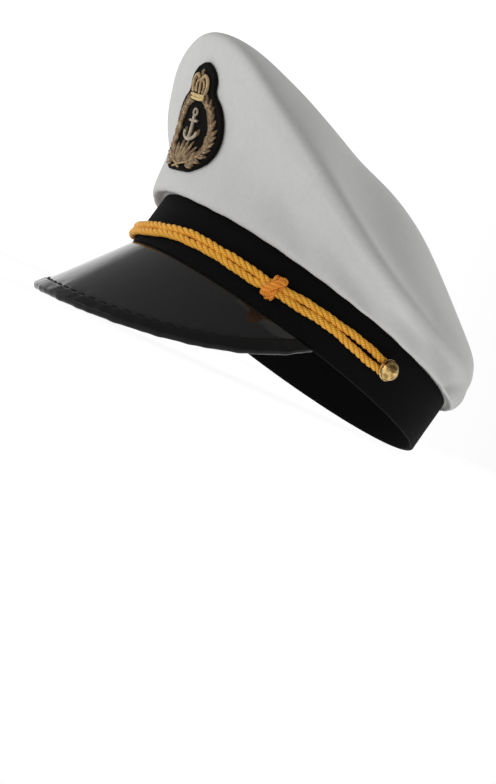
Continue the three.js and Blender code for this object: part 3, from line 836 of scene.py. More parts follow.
def make_crown(material):
    outer = np.concatenate([
        np.linspace(0, 1, 4)[:-1],
        np.linspace(1, 2, 17)[:-1],
        np.linspace(2, 6, 89)[:-1],
        np.linspace(6, LAST_LEVEL, 20),
    ])
    inner = np.concatenate([np.linspace(LAST_LEVEL, 2, 34)[:-1], np.linspace(2, 0, 14)])
    angle = np.linspace(0, 2 * math.pi, COLUMNS_AROUND + 1)[:-1]
    level_grid, angle_grid = np.meshgrid(outer, angle, indexing="ij")
    inner_level, inner_angle = np.meshgrid(inner, angle, indexing="ij")
    outside = crown_surface(level_grid, angle_grid, 0.0)
    inside = crown_surface(inner_level, inner_angle, CROWN_WALL)
    shape = Shape()
    for points, levels in ((outside, outer), (inside, inner)):
        wrapped = np.concatenate([points, points[:, :1]], 1)
        steps = np.linalg.norm(np.diff(wrapped, axis=0), axis=-1)
        down = np.concatenate([np.zeros((1, COLUMNS_AROUND + 1)), np.cumsum(steps, 0)])
        across = np.tile(np.linspace(0, 2 * math.pi * 98.0, COLUMNS_AROUND + 1), (len(levels), 1))
        wall_uv = np.stack([across, down], -1) * 0.001
        top_uv = wrapped[..., :2] * 0.001
        on_top = levels >= TOP_LEVEL
        turn = int(np.argmax(on_top != on_top[0]))
        first_uv, second_uv = (top_uv, wall_uv) if on_top[0] else (wall_uv, top_uv)
        shape.grid(points[: turn + 1], first_uv[: turn + 1], loop_columns=True)
        shape.grid(points[turn:], second_uv[turn:], loop_columns=True)
    rim = np.stack([inside[-1], outside[0]])
    rim_uv = np.zeros((2, COLUMNS_AROUND + 1, 2))
    shape.grid(rim, rim_uv, loop_columns=True)
    crown = shape.build("crown_cloth", merge=0.002)
    return settle(crown, "crown_cloth", material, "crown")


def make_band(material):
    """A straight cloth band with turned, slightly soft upper and lower edges."""
    turn = 0.8
    corner = np.linspace(0, math.pi / 2, 5)
    section = []
    for x, z, start in ((0, BAND_HEIGHT, 0), (-BAND_WALL, BAND_HEIGHT, 1), (-BAND_WALL, 0, 2), (0, 0, 3)):
        center_x = x - turn if x == 0 else x + turn
        center_z = z - turn if z > 0 else z + turn
        for bend in corner + start * math.pi / 2:
            section.append((center_x + turn * math.cos(bend), center_z + turn * math.sin(bend)))
    dense = []
    for here, after in zip(section, section[1:] + section[:1]):
        gap = math.dist(here, after)
        for step in range(max(1, round(gap / 1.6))):
            share = step / max(1, round(gap / 1.6))
            dense.append((here[0] + share * (after[0] - here[0]), here[1] + share * (after[1] - here[1])))
    section = np.array(dense)
    angle = np.linspace(0, 2 * math.pi, COLUMNS_AROUND + 1)[:-1]
    outward, angle_grid = np.meshgrid(section[:, 0], angle, indexing="ij")
    height = np.repeat(section[:, 1:], COLUMNS_AROUND, 1)
    middle = np.sin(np.clip(height / BAND_HEIGHT, 0, 1) * math.pi)
    slack = 0.12 * middle * np.sin(5 * angle_grid + 0.7) * np.sin(0.1 * height + 9 * angle_grid)
    hem = -0.22 * np.exp(-((height - 3.4) / 0.5) ** 2)
    outward = outward + np.where(outward > -0.3, slack + hem, 0.0)
    points = around_band(angle_grid, outward, height)
    around = np.tile(np.linspace(0, 590.0, COLUMNS_AROUND + 1), (len(section) + 1, 1))
    closed = np.concatenate([section, section[:1]])
    run = lengths_along(closed)
    uv = np.stack([around, np.repeat(run[:, None], COLUMNS_AROUND + 1, 1)], -1) * 0.001
    shape = Shape().grid(points, uv, loop_rows=True, loop_columns=True)
    return settle(shape.build("band_cloth"), "band_cloth", material, "band")


# Peak

def peak_width(angle):
    return PEAK_REACH * (1 - (np.abs(angle) / PEAK_HALF_SPAN) ** PEAK_FULLNESS)


def peak_point(angle, along, above):
    outward = along * math.cos(PEAK_SLOPE) + above * math.sin(PEAK_SLOPE)
    return around_band(angle, outward, above * math.cos(PEAK_SLOPE) - along * math.sin(PEAK_SLOPE) - SEAM)


def rim_frame(angle):
    """The rim of the sheet's middle, with the directions in from the rim and off the sheet's face."""
    rim = peak_point(angle, peak_width(angle), -PEAK_THICKNESS / 2)
    step = 0.004
    ahead = peak_point(angle + step, peak_width(angle + step), -PEAK_THICKNESS / 2)
    behind = peak_point(angle - step, peak_width(angle - step), -PEAK_THICKNESS / 2)
    run = unit(ahead - behind)
    face = unit(peak_point(angle, 0.0 * angle, 1.0) - peak_point(angle, 0.0 * angle, 0.0))
    inside = unit(np.cross(face, run))
    inside = np.where(inside[..., 2:] < 0, -inside, inside)
    return rim, inside, face


def pucker(angle, seed):
    """Small uneven ripples that a sewn edge shows, from -1 to 1."""
    ripple = np.sin(37 * angle + seed) + 0.7 * np.sin(61 * angle + 2.1 * seed)
    return (ripple + 0.5 * np.sin(97 * angle + 0.7 * seed)) / 2.2


def make_peak(material):
    angle = np.linspace(-PEAK_HALF_SPAN, PEAK_HALF_SPAN, 181)
    share = np.concatenate([np.linspace(0, 0.8, 25)[:-1], np.linspace(0.8, 1, 17)])
    share_grid, angle_grid = np.meshgrid(share, angle, indexing="ij")
    width = np.maximum(peak_width(angle_grid), 0.0)
    along = width * share_grid
    from_rim = width - along
    drawn = np.exp(-((from_rim - STITCH_INSET) / 1.3) ** 2)
    wrinkle = np.exp(-((from_rim - STITCH_INSET) / 5.0) ** 2) * smoothstep(width, 12, 30)
    sunk = 0.28 * drawn * smoothstep(width, 10, 20) + 0.16 * wrinkle * pucker(angle_grid, 1.0)
    upper = peak_point(angle_grid, along, -sunk)
    lower_seat = -PEAK_THICKNESS / math.tan(PEAK_SLOPE)
    lower = peak_point(angle_grid, lower_seat + (width - lower_seat) * share_grid, -PEAK_THICKNESS)
    points = np.concatenate([upper, lower[::-1]])
    shape = Shape().grid(points, loop_rows=True).cap_ends(len(points), len(angle))
    return settle(shape.build("visor", merge=0.01), "patent", material, "peak")


def make_edging(material):
    """The binding rolled over the rim, drawn in a little at each stitch."""
    half = PEAK_THICKNESS / 2 + SEAM
    outer = half + EDGING_WALL
    lip = EDGING_LIP + SEAM
    turn = np.linspace(math.pi / 2, 3 * math.pi / 2, 11)
    section = [(EDGING_WIDTH, half), (EDGING_WIDTH, half + 0.45), (EDGING_WIDTH - 0.5, outer - 0.1)]
    for share in (0.78, 0.6, 0.42, 0.24, 0.08):
        section.append((EDGING_WIDTH * share, outer))
    for bend in turn:
        section.append((lip * math.cos(bend), outer * math.sin(bend)))
    for share in (0.08, 0.24, 0.42, 0.6, 0.78):
        section.append((EDGING_WIDTH * share, -outer))
    section.extend([(EDGING_WIDTH - 0.5, 0.1 - outer), (EDGING_WIDTH, -half - 0.45), (EDGING_WIDTH, -half)])
    section.extend([(EDGING_WIDTH * 0.5, -half), (0.2, -half), (-SEAM, -half * 0.6)])
    section.extend([(-SEAM, half * 0.6), (0.2, half), (EDGING_WIDTH * 0.5, half)])
    section = np.array(section)
    angle = np.linspace(-PEAK_HALF_SPAN * 1.01, PEAK_HALF_SPAN * 1.01, 321)
    rim, inside, face = rim_frame(angle)
    lengths = lengths_along(rim)
    stitch = 0.5 + 0.5 * np.cos(2 * math.pi * lengths / STITCH_PITCH)
    is_outer = np.arange(len(section)) < len(section) - 6
    inward = section[:, 0][:, None] + 0.0 * angle
    height = section[:, 1][:, None] + 0.0 * angle
    on_face = np.clip(inward / EDGING_WIDTH, 0, 1)
    ripple = 0.5 * pucker(angle, 3.0)[None, :] * (1 - 0.6 * on_face)
    drawn = 0.16 * stitch[None, :] * on_face
    puff = 0.2 * pucker(angle, 5.0)[None, :]
    sign = np.sign(height)
    height = np.where(is_outer[:, None], height + sign * (puff - drawn), height)
    inward = np.where(is_outer[:, None] & (section[:, 0][:, None] < 0.6), inward - ripple * 0.7, inward)
    inward = np.where(section[:, 0][:, None] > EDGING_WIDTH - 0.6, inward + ripple * 0.8, inward)
    points = rim[None] + inward[..., None] * inside[None] + height[..., None] * face[None]
    points[..., 2] = np.minimum(points[..., 2], -SEAM)
    reach = lengths_along(np.concatenate([section, section[:1]]))
    v, u = np.meshgrid(reach, np.concatenate([lengths, lengths[-1:]]), indexing="ij")
    shape = Shape().grid(points, np.stack([u, v], -1) * 0.001, loop_rows=True)
    shape.cap_ends(len(section), len(angle))
    return settle(shape.build("visor_rolled_edge", merge=0.01), "patent", material, "peak_edging")


def stitch_mesh():
    """A short length of thread with rounded, sunken ends, a unit long along Y."""
    rows = []
    for t in np.linspace(0, math.pi, 9):
        radius = math.sin(t) ** 0.5
        ring = []
        for s in np.linspace(0, 2 * math.pi, 9)[:-1]:
            sunken = 0.9 * math.cos(t) ** 4
            ring.append((radius * math.cos(s), -0.5 * math.cos(t), radius * math.sin(s) - sunken))
        rows.append(ring)
    mesh = bpy.data.meshes.new("stitch")
    quads = [[row * 8 + column % 8 for row, column in corners] for corners in ring_quads(len(rows), 8)]
    mesh.from_pydata(np.array(rows).reshape(-1, 3).tolist(), [], quads)
    return finish_mesh("stitch", mesh, 0.01)


def make_stitches(material, tree):
    angle = np.linspace(-PEAK_HALF_SPAN, PEAK_HALF_SPAN, 4001)
    line = peak_point(angle, peak_width(angle) - STITCH_INSET, -0.1)
    keep = peak_width(angle) > STITCH_INSET + 5.0
    lengths = lengths_along(line)
    start, end = lengths[keep][[0, -1]]
    count = int((end - start) / STITCH_PITCH)
    marks = start + STITCH_PITCH * (np.arange(count) + 0.5)
    angles = np.interp(marks, lengths, angle)
    places = peak_point(angles, peak_width(angles) - STITCH_INSET, 0.05)
    ahead = peak_point(angles + 0.002, peak_width(angles + 0.002) - STITCH_INSET, 0.05)
    outs = unit(peak_point(angles, 0.0, 1.0) - peak_point(angles, 0.0, 0.0))
    sizes = np.tile([0.00068, 0.0056, 0.0006], (count, 1))
    source = marked_points("visor_stitches", places, outs, unit(ahead - places), sizes)
    stitch = stitch_mesh()
    piece = run_tree("visor_stitches", source, tree, copy=stitch, material=material)
    bpy.data.objects.remove(stitch)
    return settle(piece, "patent", None)


# Cord, knots and buttons

def cord_height(angle):
    share = CORD_END_SHARE
    for start, end, gain in CORD_STEPS:
        share = share + gain * smoothstep(angle, math.radians(start), math.radians(end))
    return BAND_HEIGHT * share


def band_radius(angle):
    return math.hypot(BAND_HALF_WIDTH * math.cos(angle), BAND_HALF_LENGTH * math.sin(angle))


def from_knot(angle):
    """Distance along the band from the nearer knot's middle, in mm."""
    return np.abs((np.abs(angle) - KNOT_ANGLE) * band_radius(KNOT_ANGLE))


def strand_spread(angle):
    """Half of the distance between the strands, which the knot squeezes together."""
    share = (np.abs(angle) - KNOT_ANGLE) / (BUTTON_ANGLE - KNOT_ANGLE)
    spread = CORD_DIAMETER / 2 - CORD_PRESS + CORD_PART * smoothstep(share, 0.3, 0.85)
    return spread - 0.4 * (1 - smoothstep(from_knot(angle), 3.0, 9.0))


def strand_out(angle):
    return SEAM + CORD_DIAMETER / 2 + KNOT_LIFT * (1 - smoothstep(from_knot(angle), 3.0, 12.0))


def make_cords(material, tree):
    end = BUTTON_ANGLE - (SHANK_DIAMETER / 2 + SEAM) / band_radius(BUTTON_ANGLE)
    angle = np.linspace(-end, end, 420)
    for level, node in ((1, "cord_upper"), (-1, "cord_lower")):
        sway = 0.22 * np.sin(17 * angle + 2.0 * level) + 0.14 * np.sin(43 * angle - 1.3 * level)
        height = cord_height(angle) + level * strand_spread(angle) + sway
        points = around_band(angle, strand_out(angle) + 0.1, height)
        ply = (0.00121, 0.00099)
        piece = lay_cord("gold_" + node, points, tree, ply, CORD_LAY * 0.001, 0.0009, 12, material)
        settle(piece, "gold_cord", None, node)


# Each knot: three tight turns round both strands, and one bight laid slantwise over them.
# along the cord toward the button, up and out from the strands' middle, in mm
KNOT_BIGHT = [
    (-1.8, -3.2, -1.6),
    (-2.6, -4.5, 1.2),
    (-2.3, -3.6, 4.5),
    (-0.8, -1.0, 5.7),
    (1.0, 1.8, 5.7),
    (2.2, 4.2, 4.3),
    (2.6, 5.0, 1.2),
    (1.9, 3.9, -1.8),
]


def knot_turns():
    share = np.linspace(-0.5, 0.5, 220)
    turn = 6 * math.pi * share
    along = 5.4 * share
    round_off = 1.0 - 1.1 * share ** 2
    up = round_off * (1.6 * np.clip(2.5 * np.sin(turn), -1, 1) + 4.0 * np.sin(turn))
    return np.stack([along, up, -3.8 * round_off * np.cos(turn)], -1)


def make_knots(material, tree):
    for name, side in (("left", 1), ("right", -1)):
        parts = []
        for index, run in enumerate((knot_turns(), smooth_open(KNOT_BIGHT, 12))):
            angle = side * (KNOT_ANGLE + run[:, 0] / band_radius(KNOT_ANGLE))
            points = around_band(angle, strand_out(KNOT_ANGLE) + run[:, 2], cord_height(angle) + run[:, 1])
            ply = (0.0009 + 0.00032 * index, 0.0007 + 0.00028 * index)
            parts.append(lay_cord(f"knot_{name}_{index}", points, tree, ply, 0.0085, 0.0006, 12, material))
        settle(join_meshes("gold_knot_" + name, parts), "gold_cord", None, "knot_" + name)


def make_buttons(material):
    base = SEAM + CORD_DIAMETER + SEAM
    radius = BUTTON_DIAMETER / 2
    shank = SHANK_DIAMETER / 2
    profile = [(0.0, SEAM), (shank, SEAM), (shank, base - 0.1), (radius * 0.84, base)]
    for bend in np.linspace(-math.pi / 2, math.pi / 2, 7):
        profile.append((radius - 0.5 + 0.5 * math.cos(bend), base + 0.5 + 0.5 * math.sin(bend)))
    for bend in np.linspace(0.1, math.pi / 2, 18):
        rise = base + BUTTON_RIM - 0.2 + (BUTTON_DOME + 0.2) * math.sin(bend)
        profile.append(((radius - 0.35) * math.cos(bend), rise))
    profile = np.array(profile)
    spin = np.linspace(0, 2 * math.pi, 65)[:-1]
    for name, side in (("left", 1), ("right", -1)):
        angle = np.array(side * BUTTON_ANGLE)
        normal = band_normal(angle)
        across = np.cross(normal, [0.0, 0.0, 1.0])
        seat = around_band(angle, 0.0, cord_height(angle))
        radial = np.cos(spin)[:, None] * across + np.sin(spin)[:, None] * np.array([0.0, 0.0, 1.0])
        points = seat + profile[:, 0][:, None, None] * radial[None] + profile[:, 1][:, None, None] * normal
        piece = Shape().grid(points, loop_columns=True).build("side_button_" + name, merge=0.002)
        settle(piece, "button_metal", material, "button_" + name)


# Badge

CLOTH_LEVELS = np.linspace(1, LAST_LEVEL, 1201)
CLOTH_POINTS = crown_surface(CLOTH_LEVELS, np.zeros(1201), 0.0, False)
CLOTH_LENGTHS = lengths_along(CLOTH_POINTS)


def on_badge(across, up, lift):
    """across: mm toward the wearer's left, up: mm above the badge's lower edge, lift: off the cloth."""
    across, up, lift = np.broadcast_arrays(np.asarray(across, float), up, lift)
    level = np.interp(BADGE_UP + up, CLOTH_LENGTHS, CLOTH_LEVELS)
    place = BADGE_ACROSS + across + up * math.tan(BADGE_LEAN)
    angle = np.arcsin(np.clip(place / ring_values(level)[..., 0], -1, 1))
    return crown_surface(level, angle, -lift, False)


FELT_OUTLINE = [
    (0.0, 0.36), (0.045, 0.62), (0.11, 0.82), (0.2, 0.95), (0.31, 1.0), (0.43, 1.0), (0.55, 0.95), (0.64, 0.85),
    (0.7, 0.73), (0.745, 0.57), (0.79, 0.5), (0.85, 0.5), (0.91, 0.44), (0.96, 0.31), (1.0, 0.08),
]


def smooth_closed(points, steps):
    """A closed curve through the points."""
    points = np.asarray(points, float)
    around = [np.roll(points, shift, 0) for shift in (1, 0, -1, -2)]
    parts = [curve_between(*around, share) for share in np.arange(steps) / steps]
    return np.stack(parts, 1).reshape(-1, points.shape[1])


def smooth_open(points, steps):
    """A curve from the first of the points to the last."""
    points = np.asarray(points, float)
    padded = np.concatenate([2 * points[:1] - points[1:2], points, 2 * points[-1:] - points[-2:-1]])
    parts = []
    for i in range(len(points) - 1):
        parts.extend(curve_between(*padded[i:i + 4], share) for share in np.arange(steps) / steps)
    parts.append(points[-1])
    return np.array(parts)


def make_felt(material):
    right = [(half * BADGE_WIDTH / 2, up * BADGE_HEIGHT) for up, half in FELT_OUTLINE]
    left = [(-x, y) for x, y in reversed(right)]
    edge = smooth_closed(right + left, 12)
    center = np.array([0.0, 0.4 * BADGE_HEIGHT])
    turned = np.unwrap(np.arctan2(edge[:, 1] - center[1], edge[:, 0] - center[0]))
    reach = np.linalg.norm(edge - center, axis=1)
    order = np.argsort(turned)
    spokes = np.linspace(0, 2 * math.pi, 181)[:-1]
    radius = np.interp(spokes, turned[order], reach[order], period=2 * math.pi)
    top = [(0.0, 0.86), (0.15, 0.86), (0.3, 0.86), (0.45, 0.86), (0.6, 0.87), (0.72, 0.88)]
    profile = [(0.0 + share, None, thick) for share, thick in top]
    profile += [(None, 3.2, 0.88), (None, 2.5, 0.96), (None, 1.8, 1.04), (None, 1.1, 1.02), (None, 0.55, 0.86)]
    profile += [(None, 0.15, 0.6), (None, 0.0, 0.35), (None, 0.2, 0.08), (None, 0.8, 0.0)]
    profile += [(0.6, None, 0.0), (0.3, None, 0.0), (0.0, None, 0.0)]
    rows = []
    for share, inset, thick in profile:
        distance = radius * share if inset is None else radius - inset
        pinch = 0.1 * np.sin(46 * spokes) * (thick > 0.3) * (0 if inset is None else 1)
        x = center[0] + (distance + pinch) * np.cos(spokes)
        y = center[1] + (distance + pinch) * np.sin(spokes)
        rows.append(on_badge(x, np.clip(y, -1, 62), SEAM + thick * FELT_THICKNESS))
    shape = Shape().grid(np.array(rows), loop_columns=True)
    return settle(shape.build("badge_felt", merge=0.002), "badge_felt", material, "badge_backing")


def leaf_mesh():
    """A pointed pad of laid thread, a unit long and wide, with a groove along its middle."""
    along = np.linspace(0, 1, 15)
    half = np.sin(math.pi * along) ** 0.8 * (1.12 - 0.35 * along)
    sides = np.linspace(0, 2 * math.pi, 17)[:-1]
    rows = []
    uvs = []
    for t, wide in zip(along, half):
        ring = []
        for s in sides:
            height = max(math.sin(s), -0.25)
            groove = 0.45 * math.exp(-(math.cos(s) / 0.25) ** 2) if math.sin(s) > 0 else 0.0
            ring.append((0.5 * wide * math.cos(s), t - 0.5, wide ** 0.5 * (height - groove)))
        rows.append(ring)
    count = len(sides)
    quads = []
    for corners in ring_quads(len(rows), count):
        quads.append([row * count + column % count for row, column in corners])
        for row, column in corners:
            uvs.append((abs(math.cos(2 * math.pi * column / count)) * 2.4, along[row] * 7.0))
    mesh = bpy.data.meshes.new("leaf")
    mesh.from_pydata(np.array(rows).reshape(-1, 3).tolist(), [], quads)
    layer = mesh.uv_layers.new(name="UVMap")
    layer.data.foreach_set("uv", np.array(uvs, np.float32).ravel())
    return finish_mesh("leaf", mesh, 0.01)


THREAD_BASE = SEAM + FELT_THICKNESS + 0.05
WREATH_STEM = [(0.06, 0.05), (0.34, 0.09), (0.6, 0.17), (0.71, 0.3), (0.69, 0.45), (0.52, 0.6), (0.36, 0.66)]

# across and up as shares of half the badge's width and of its height, aim in degrees, length and width in mm
FAN_LEAVES = [
    (0.0, 0.17, 0, 15.0, 2.6),
    (0.13, 0.17, 17, 15.5, 2.5),
    (0.27, 0.155, 34, 14.5, 2.6),
    (0.4, 0.125, 52, 12.5, 2.6),
    (0.47, 0.085, 72, 10.0, 2.5),
    (0.45, 0.05, 92, 7.5, 2.3),
]


def leaf_rows(side):
    """Places of one branch's leaves: across and up in mm, aim in radians, length and width in mm."""
    chance = np.random.default_rng(11 + side)
    stem = smooth_open([(side * x * BADGE_WIDTH / 2, y * BADGE_HEIGHT) for x, y in WREATH_STEM], 24)
    lengths = lengths_along(stem)
    rows = []
    pairs = 12
    for i in range(pairs):
        mark = lengths[-1] * (0.16 + 0.82 * i / (pairs - 1))
        (behind, x, ahead), (below, y, above) = (
            np.interp([mark - 0.5, mark, mark + 0.5], lengths, values) for values in stem.T
        )
        run = math.atan2(ahead - behind, above - below)
        size = 1.0 - 0.2 * i / (pairs - 1)
        for lean in (-1, 0, 1):
            aim = run + lean * math.radians(36) + chance.uniform(-0.12, 0.12)
            length = size * (8.4 if lean else 6.0) * chance.uniform(0.88, 1.12)
            wide = size * (2.9 if lean else 2.0) * chance.uniform(0.88, 1.12)
            shift = 3.1 * size if lean else 1.2
            rows.append((x + shift * math.sin(aim), y + shift * math.cos(aim), aim, length, wide))
    for across, up, aim, length, wide in FAN_LEAVES:
        if across > 0 or side > 0:
            place = side * across * BADGE_WIDTH / 2
            rows.append((place, up * BADGE_HEIGHT, side * math.radians(aim), length, wide))
    return np.array(rows)


def pads(name, rows, relief, copy, tree, material):
    """Thread pads laid on the badge from rows of across, up, aim, length and width."""
    across, up, aim, length, wide = rows.T
    base = on_badge(across, up, THREAD_BASE)
    places = on_badge(across, up, THREAD_BASE + 0.15 * relief)
    outs = unit(on_badge(across, up, THREAD_BASE + 1.0) - base)
    aims = unit(on_badge(across + 0.5 * np.sin(aim), up + 0.5 * np.cos(aim), THREAD_BASE) - base)
    sizes = np.stack([wide, length, 0 * length + relief], -1) * 0.001
    source = marked_points(name, places, outs, aims, sizes)
    return run_tree(name, source, tree, copy=copy, material=material)


def thread_line(name, points, radius, tree, material, lift=0.0):
    """A line of twisted thread through across and up shares."""
    flat = smooth_open([(x * BADGE_WIDTH / 2, y * BADGE_HEIGHT) for x, y in points], 10)
    path = on_badge(flat[:, 0], flat[:, 1], THREAD_BASE + radius + lift)
    ply = (radius * 0.00055, radius * 0.00047)
    return lay_cord(name, path, tree, ply, radius * 0.0036, 0.00035, 8, material)


ANCHOR_LINES = [
    ([(0, 0.3), (0, 0.4), (0, 0.52)], 0.95),
    ([(-0.17, 0.475), (0, 0.472), (0.17, 0.475)], 0.75),
    ([(-0.25, 0.375), (-0.2, 0.325), (0, 0.29), (0.2, 0.325), (0.25, 0.375)], 0.95),
]
ANCHOR_PADS = [(-0.26, 0.375, -18, 4.4, 2.8), (0.26, 0.375, 18, 4.4, 2.8), (0, 0.37, 0, 6.5, 2.0)]
ANCHOR_RING = [
    (0.0, 0.52), (0.075, 0.54), (0.06, 0.572), (0, 0.583), (-0.06, 0.572), (-0.075, 0.54), (0.0, 0.52),
]

SMALL_CROWN_BAND = [
    ([(-0.25, 0.682), (-0.13, 0.674), (0, 0.671), (0.13, 0.674), (0.25, 0.682)], 0.95),
    ([(-0.26, 0.712), (-0.13, 0.704), (0, 0.701), (0.13, 0.704), (0.26, 0.712)], 0.95),
]
SMALL_CROWN_LINES = [
    ([(-0.25, 0.73), (-0.3, 0.79), (-0.27, 0.855), (-0.15, 0.885), (-0.04, 0.85)], 0.95),
    ([(0.25, 0.73), (0.3, 0.79), (0.27, 0.855), (0.15, 0.885), (0.04, 0.85)], 0.95),
    ([(-0.13, 0.73), (-0.16, 0.78), (-0.13, 0.825), (-0.02, 0.845)], 0.7),
    ([(0.13, 0.73), (0.16, 0.78), (0.13, 0.825), (0.02, 0.845)], 0.7),
    ([(0, 0.72), (0, 0.79), (0, 0.86)], 0.75),
]
SMALL_CROWN_PADS = [
    (0, 0.905, 0, 4.4, 3.2),
    (-0.2, 0.757, 0, 2.8, 2.0),
    (0.2, 0.757, 0, 2.8, 2.0),
    (-0.22, 0.86, -50, 3.4, 2.0),
    (0.22, 0.86, 50, 3.4, 2.0),
]


def pad_rows(table):
    rows = []
    for across, up, aim, length, wide in table:
        rows.append((across * BADGE_WIDTH / 2, up * BADGE_HEIGHT, math.radians(aim), length, wide))
    return np.array(rows)


def make_embroidery(threads, cord_tree, copies_tree):
    thread, line_thread, silver_thread, pale_thread = threads
    leaf = leaf_mesh()
    for name, side in (("left", 1), ("right", -1)):
        node = "badge_wreath_" + name
        stem = [(side * x, y) for x, y in WREATH_STEM]
        tail = [(side * 0.06, 0.05), (-side * 0.04, 0.028), (-side * 0.13, 0.018)]
        parts = [
            pads(node + "_leaves", leaf_rows(side), THREAD_RELIEF * 0.8, leaf, copies_tree, thread),
            thread_line(node + "_stem", stem, 0.6, cord_tree, line_thread),
            thread_line(node + "_tail", tail, 0.6, cord_tree, line_thread, 0.3 * (side > 0)),
        ]
        settle(join_meshes("embroidered_wreath_" + name, parts), "badge_thread", None, node)
    parts = [pads("anchor_pads", pad_rows(ANCHOR_PADS), 1.2, leaf, copies_tree, thread)]
    for index, (points, radius) in enumerate(ANCHOR_LINES):
        parts.append(thread_line(f"anchor_line_{index}", points, radius, cord_tree, silver_thread, 0.3))
    parts.append(thread_line("anchor_ring", ANCHOR_RING, 0.6, cord_tree, silver_thread, 0.3))
    settle(join_meshes("embroidered_anchor", parts), "badge_thread", None, "badge_anchor")
    parts = [pads("crown_pads", pad_rows(SMALL_CROWN_PADS), 1.3, leaf, copies_tree, thread)]
    for index, (points, radius) in enumerate(SMALL_CROWN_BAND):
        parts.append(thread_line(f"crown_band_{index}", points, radius, cord_tree, pale_thread, 0.2))
    for index, (points, radius) in enumerate(SMALL_CROWN_LINES):
        parts.append(thread_line(f"crown_line_{index}", points, radius, cord_tree, line_thread))
    settle(join_meshes("embroidered_crown", parts), "badge_thread", None, "badge_crown")
    bpy.data.objects.remove(leaf)


# Camera, floor and light

# azimuth, elevation and roll in degrees, place in metres, focal length and width in pixels
CAMERA_ANGLES = (58.572, 1.16, -24.274)
CAMERA_PLACE = (0.70395, -0.41977, 0.012)
FOCAL_PIXELS = 1447.9
PHOTO_WIDTH = 496
SENSOR_WIDTH = 36.0

FLOOR_HALF = 12.0
FLOOR_LEVEL = -0.0003

# name, place and diameter in metres, power in watts
LIGHTS = [
    ("key", (-0.35, -1.5, 0.7), 0.8, 3.2),
    ("top", (-0.5, 1.3, 1.1), 0.9, 14.0),
]

def make_camera():
    azimuth, elevation, roll = (math.radians(angle) for angle in CAMERA_ANGLES)
    flat = math.cos(elevation)
    back = Vector((math.sin(azimuth) * flat, -math.cos(azimuth) * flat, math.sin(elevation)))
    right = Vector((math.cos(azimuth), math.sin(azimuth), 0.0))
    up = back.cross(right)
    turned_right = right * math.cos(roll) - up * math.sin(roll)
    turned_up = right * math.sin(roll) + up * math.cos(roll)
    data = bpy.data.cameras.new("photo_camera")
    data.sensor_fit = "HORIZONTAL"
    data.sensor_width = SENSOR_WIDTH
    data.lens = FOCAL_PIXELS / PHOTO_WIDTH * SENSOR_WIDTH
    data.clip_start = 0.01
    camera = bpy.data.objects.new("photo_camera", data)
    turn = Matrix((turned_right, turned_up, back)).transposed()
    camera.matrix_world = Matrix.Translation(CAMERA_PLACE) @ turn.to_4x4()
    scene.collection.objects.link(camera)
    scene.camera = camera


def make_floor():
    mesh = bpy.data.meshes.new("floor")
    corners = [(x * FLOOR_HALF, y * FLOOR_HALF, FLOOR_LEVEL) for x, y in ((-1, -1), (1, -1), (1, 1), (-1, 1))]
    mesh.from_pydata(corners, [], [(0, 1, 2, 3)])
    floor = bpy.data.objects.new("floor", mesh)
    scene.collection.objects.link(floor)
    material = new_material(
        "pale_floor",
        (0.12, 0.12, 0.12),
        0.9,
        Specular_IOR_Level=0.0,
        Emission_Color=(1.0, 1.0, 1.0),
        Emission_Strength=0.94,
    )[0]
    mesh.materials.append(material)


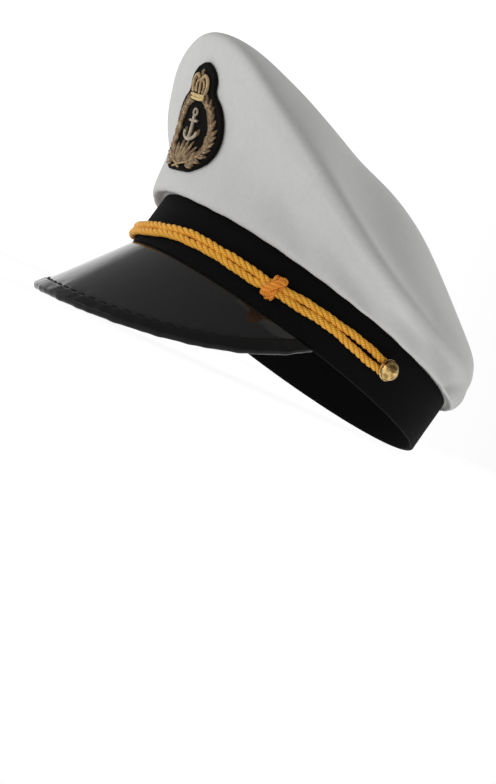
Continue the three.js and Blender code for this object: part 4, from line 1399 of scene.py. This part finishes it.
def make_light():
    world = bpy.data.worlds.new("studio")
    world.use_nodes = True
    tree = world.node_tree
    background = tree.nodes["Background"]
    direction = add_node(tree, "ShaderNodeTexCoord").outputs["Generated"]
    parts = separate(tree, direction)
    walls = remap(tree, parts["Z"], 0.36, 0.5, 1.0, 0.3)
    toward_front = maths(tree, "MULTIPLY_ADD", parts["X"], -0.8, maths(tree, "MULTIPLY", parts["Y"], -0.6))
    uneven = maths(tree, "MULTIPLY_ADD", toward_front, 0.5, 0.86)
    tree.links.new(maths(tree, "MULTIPLY", walls, uneven), background.inputs["Strength"])
    background.inputs["Color"].default_value = (1.0, 1.0, 1.0, 1.0)
    scene.world = world
    for name, place, size, energy in LIGHTS:
        data = bpy.data.lights.new(name, "AREA")
        data.shape = "DISK"
        data.size = size
        data.energy = energy
        light = bpy.data.objects.new(name, data)
        light.location = place
        aim = Vector((0.0, 0.0, 0.08)) - light.location
        light.rotation_euler = aim.to_track_quat("-Z", "Y").to_euler()
        scene.collection.objects.link(light)
    scene.view_settings.view_transform = "Standard"


def main():
    make_camera()
    make_floor()
    make_light()
    weave = plain_weave_group()
    twill = twill_group()
    yarn = yarn_group()
    cord_tree = twisted_cord_tree()
    copies_tree = scatter_tree()
    cotton = white_cloth(weave)
    band_black = black_cloth(twill)
    gloss = {"Coat_Weight": 0.12, "Coat_Roughness": 0.03, "Specular_IOR_Level": 0.38}
    sheet = patent("patent_sheet", 150.0, 0.05, 0.15, **gloss)
    edge = patent("patent_edge", 320.0, 0.14, 0.34, Specular_IOR_Level=0.1)
    stitch_black = patent("stitch_thread", 600.0, 0.45, 0.6, Specular_IOR_Level=0.1)
    gold = gold_yarn("gold_yarn", yarn, 4.0, 0.0036, (0.98, 0.58, 0.055), (0.78, 0.27, 0.014))
    knot_gold = gold_yarn("knot_yarn", yarn, 4.0, 0.003, (0.95, 0.4, 0.03), (0.74, 0.18, 0.008))
    line_thread = gold_yarn("line_thread", yarn, 2.0, 0.0009, (0.95, 0.7, 0.38), (0.14, 0.065, 0.022))
    silver_thread = gold_yarn("silver_thread", yarn, 2.0, 0.0009, (0.85, 0.74, 0.58), (0.16, 0.1, 0.06))
    pale_thread = gold_yarn("pale_thread", yarn, 2.0, 0.0009, (1.0, 0.83, 0.42), (0.45, 0.28, 0.09))
    brass = polished_brass()
    felt = black_felt()
    thread = metal_thread()
    make_crown(cotton)
    make_band(band_black)
    make_peak(sheet)
    make_edging(edge)
    make_stitches(stitch_black, copies_tree)
    make_cords(gold, cord_tree)
    make_knots(knot_gold, cord_tree)
    make_buttons(brass)
    make_felt(felt)
    make_embroidery((thread, line_thread, silver_thread, pale_thread), cord_tree, copies_tree)


main()
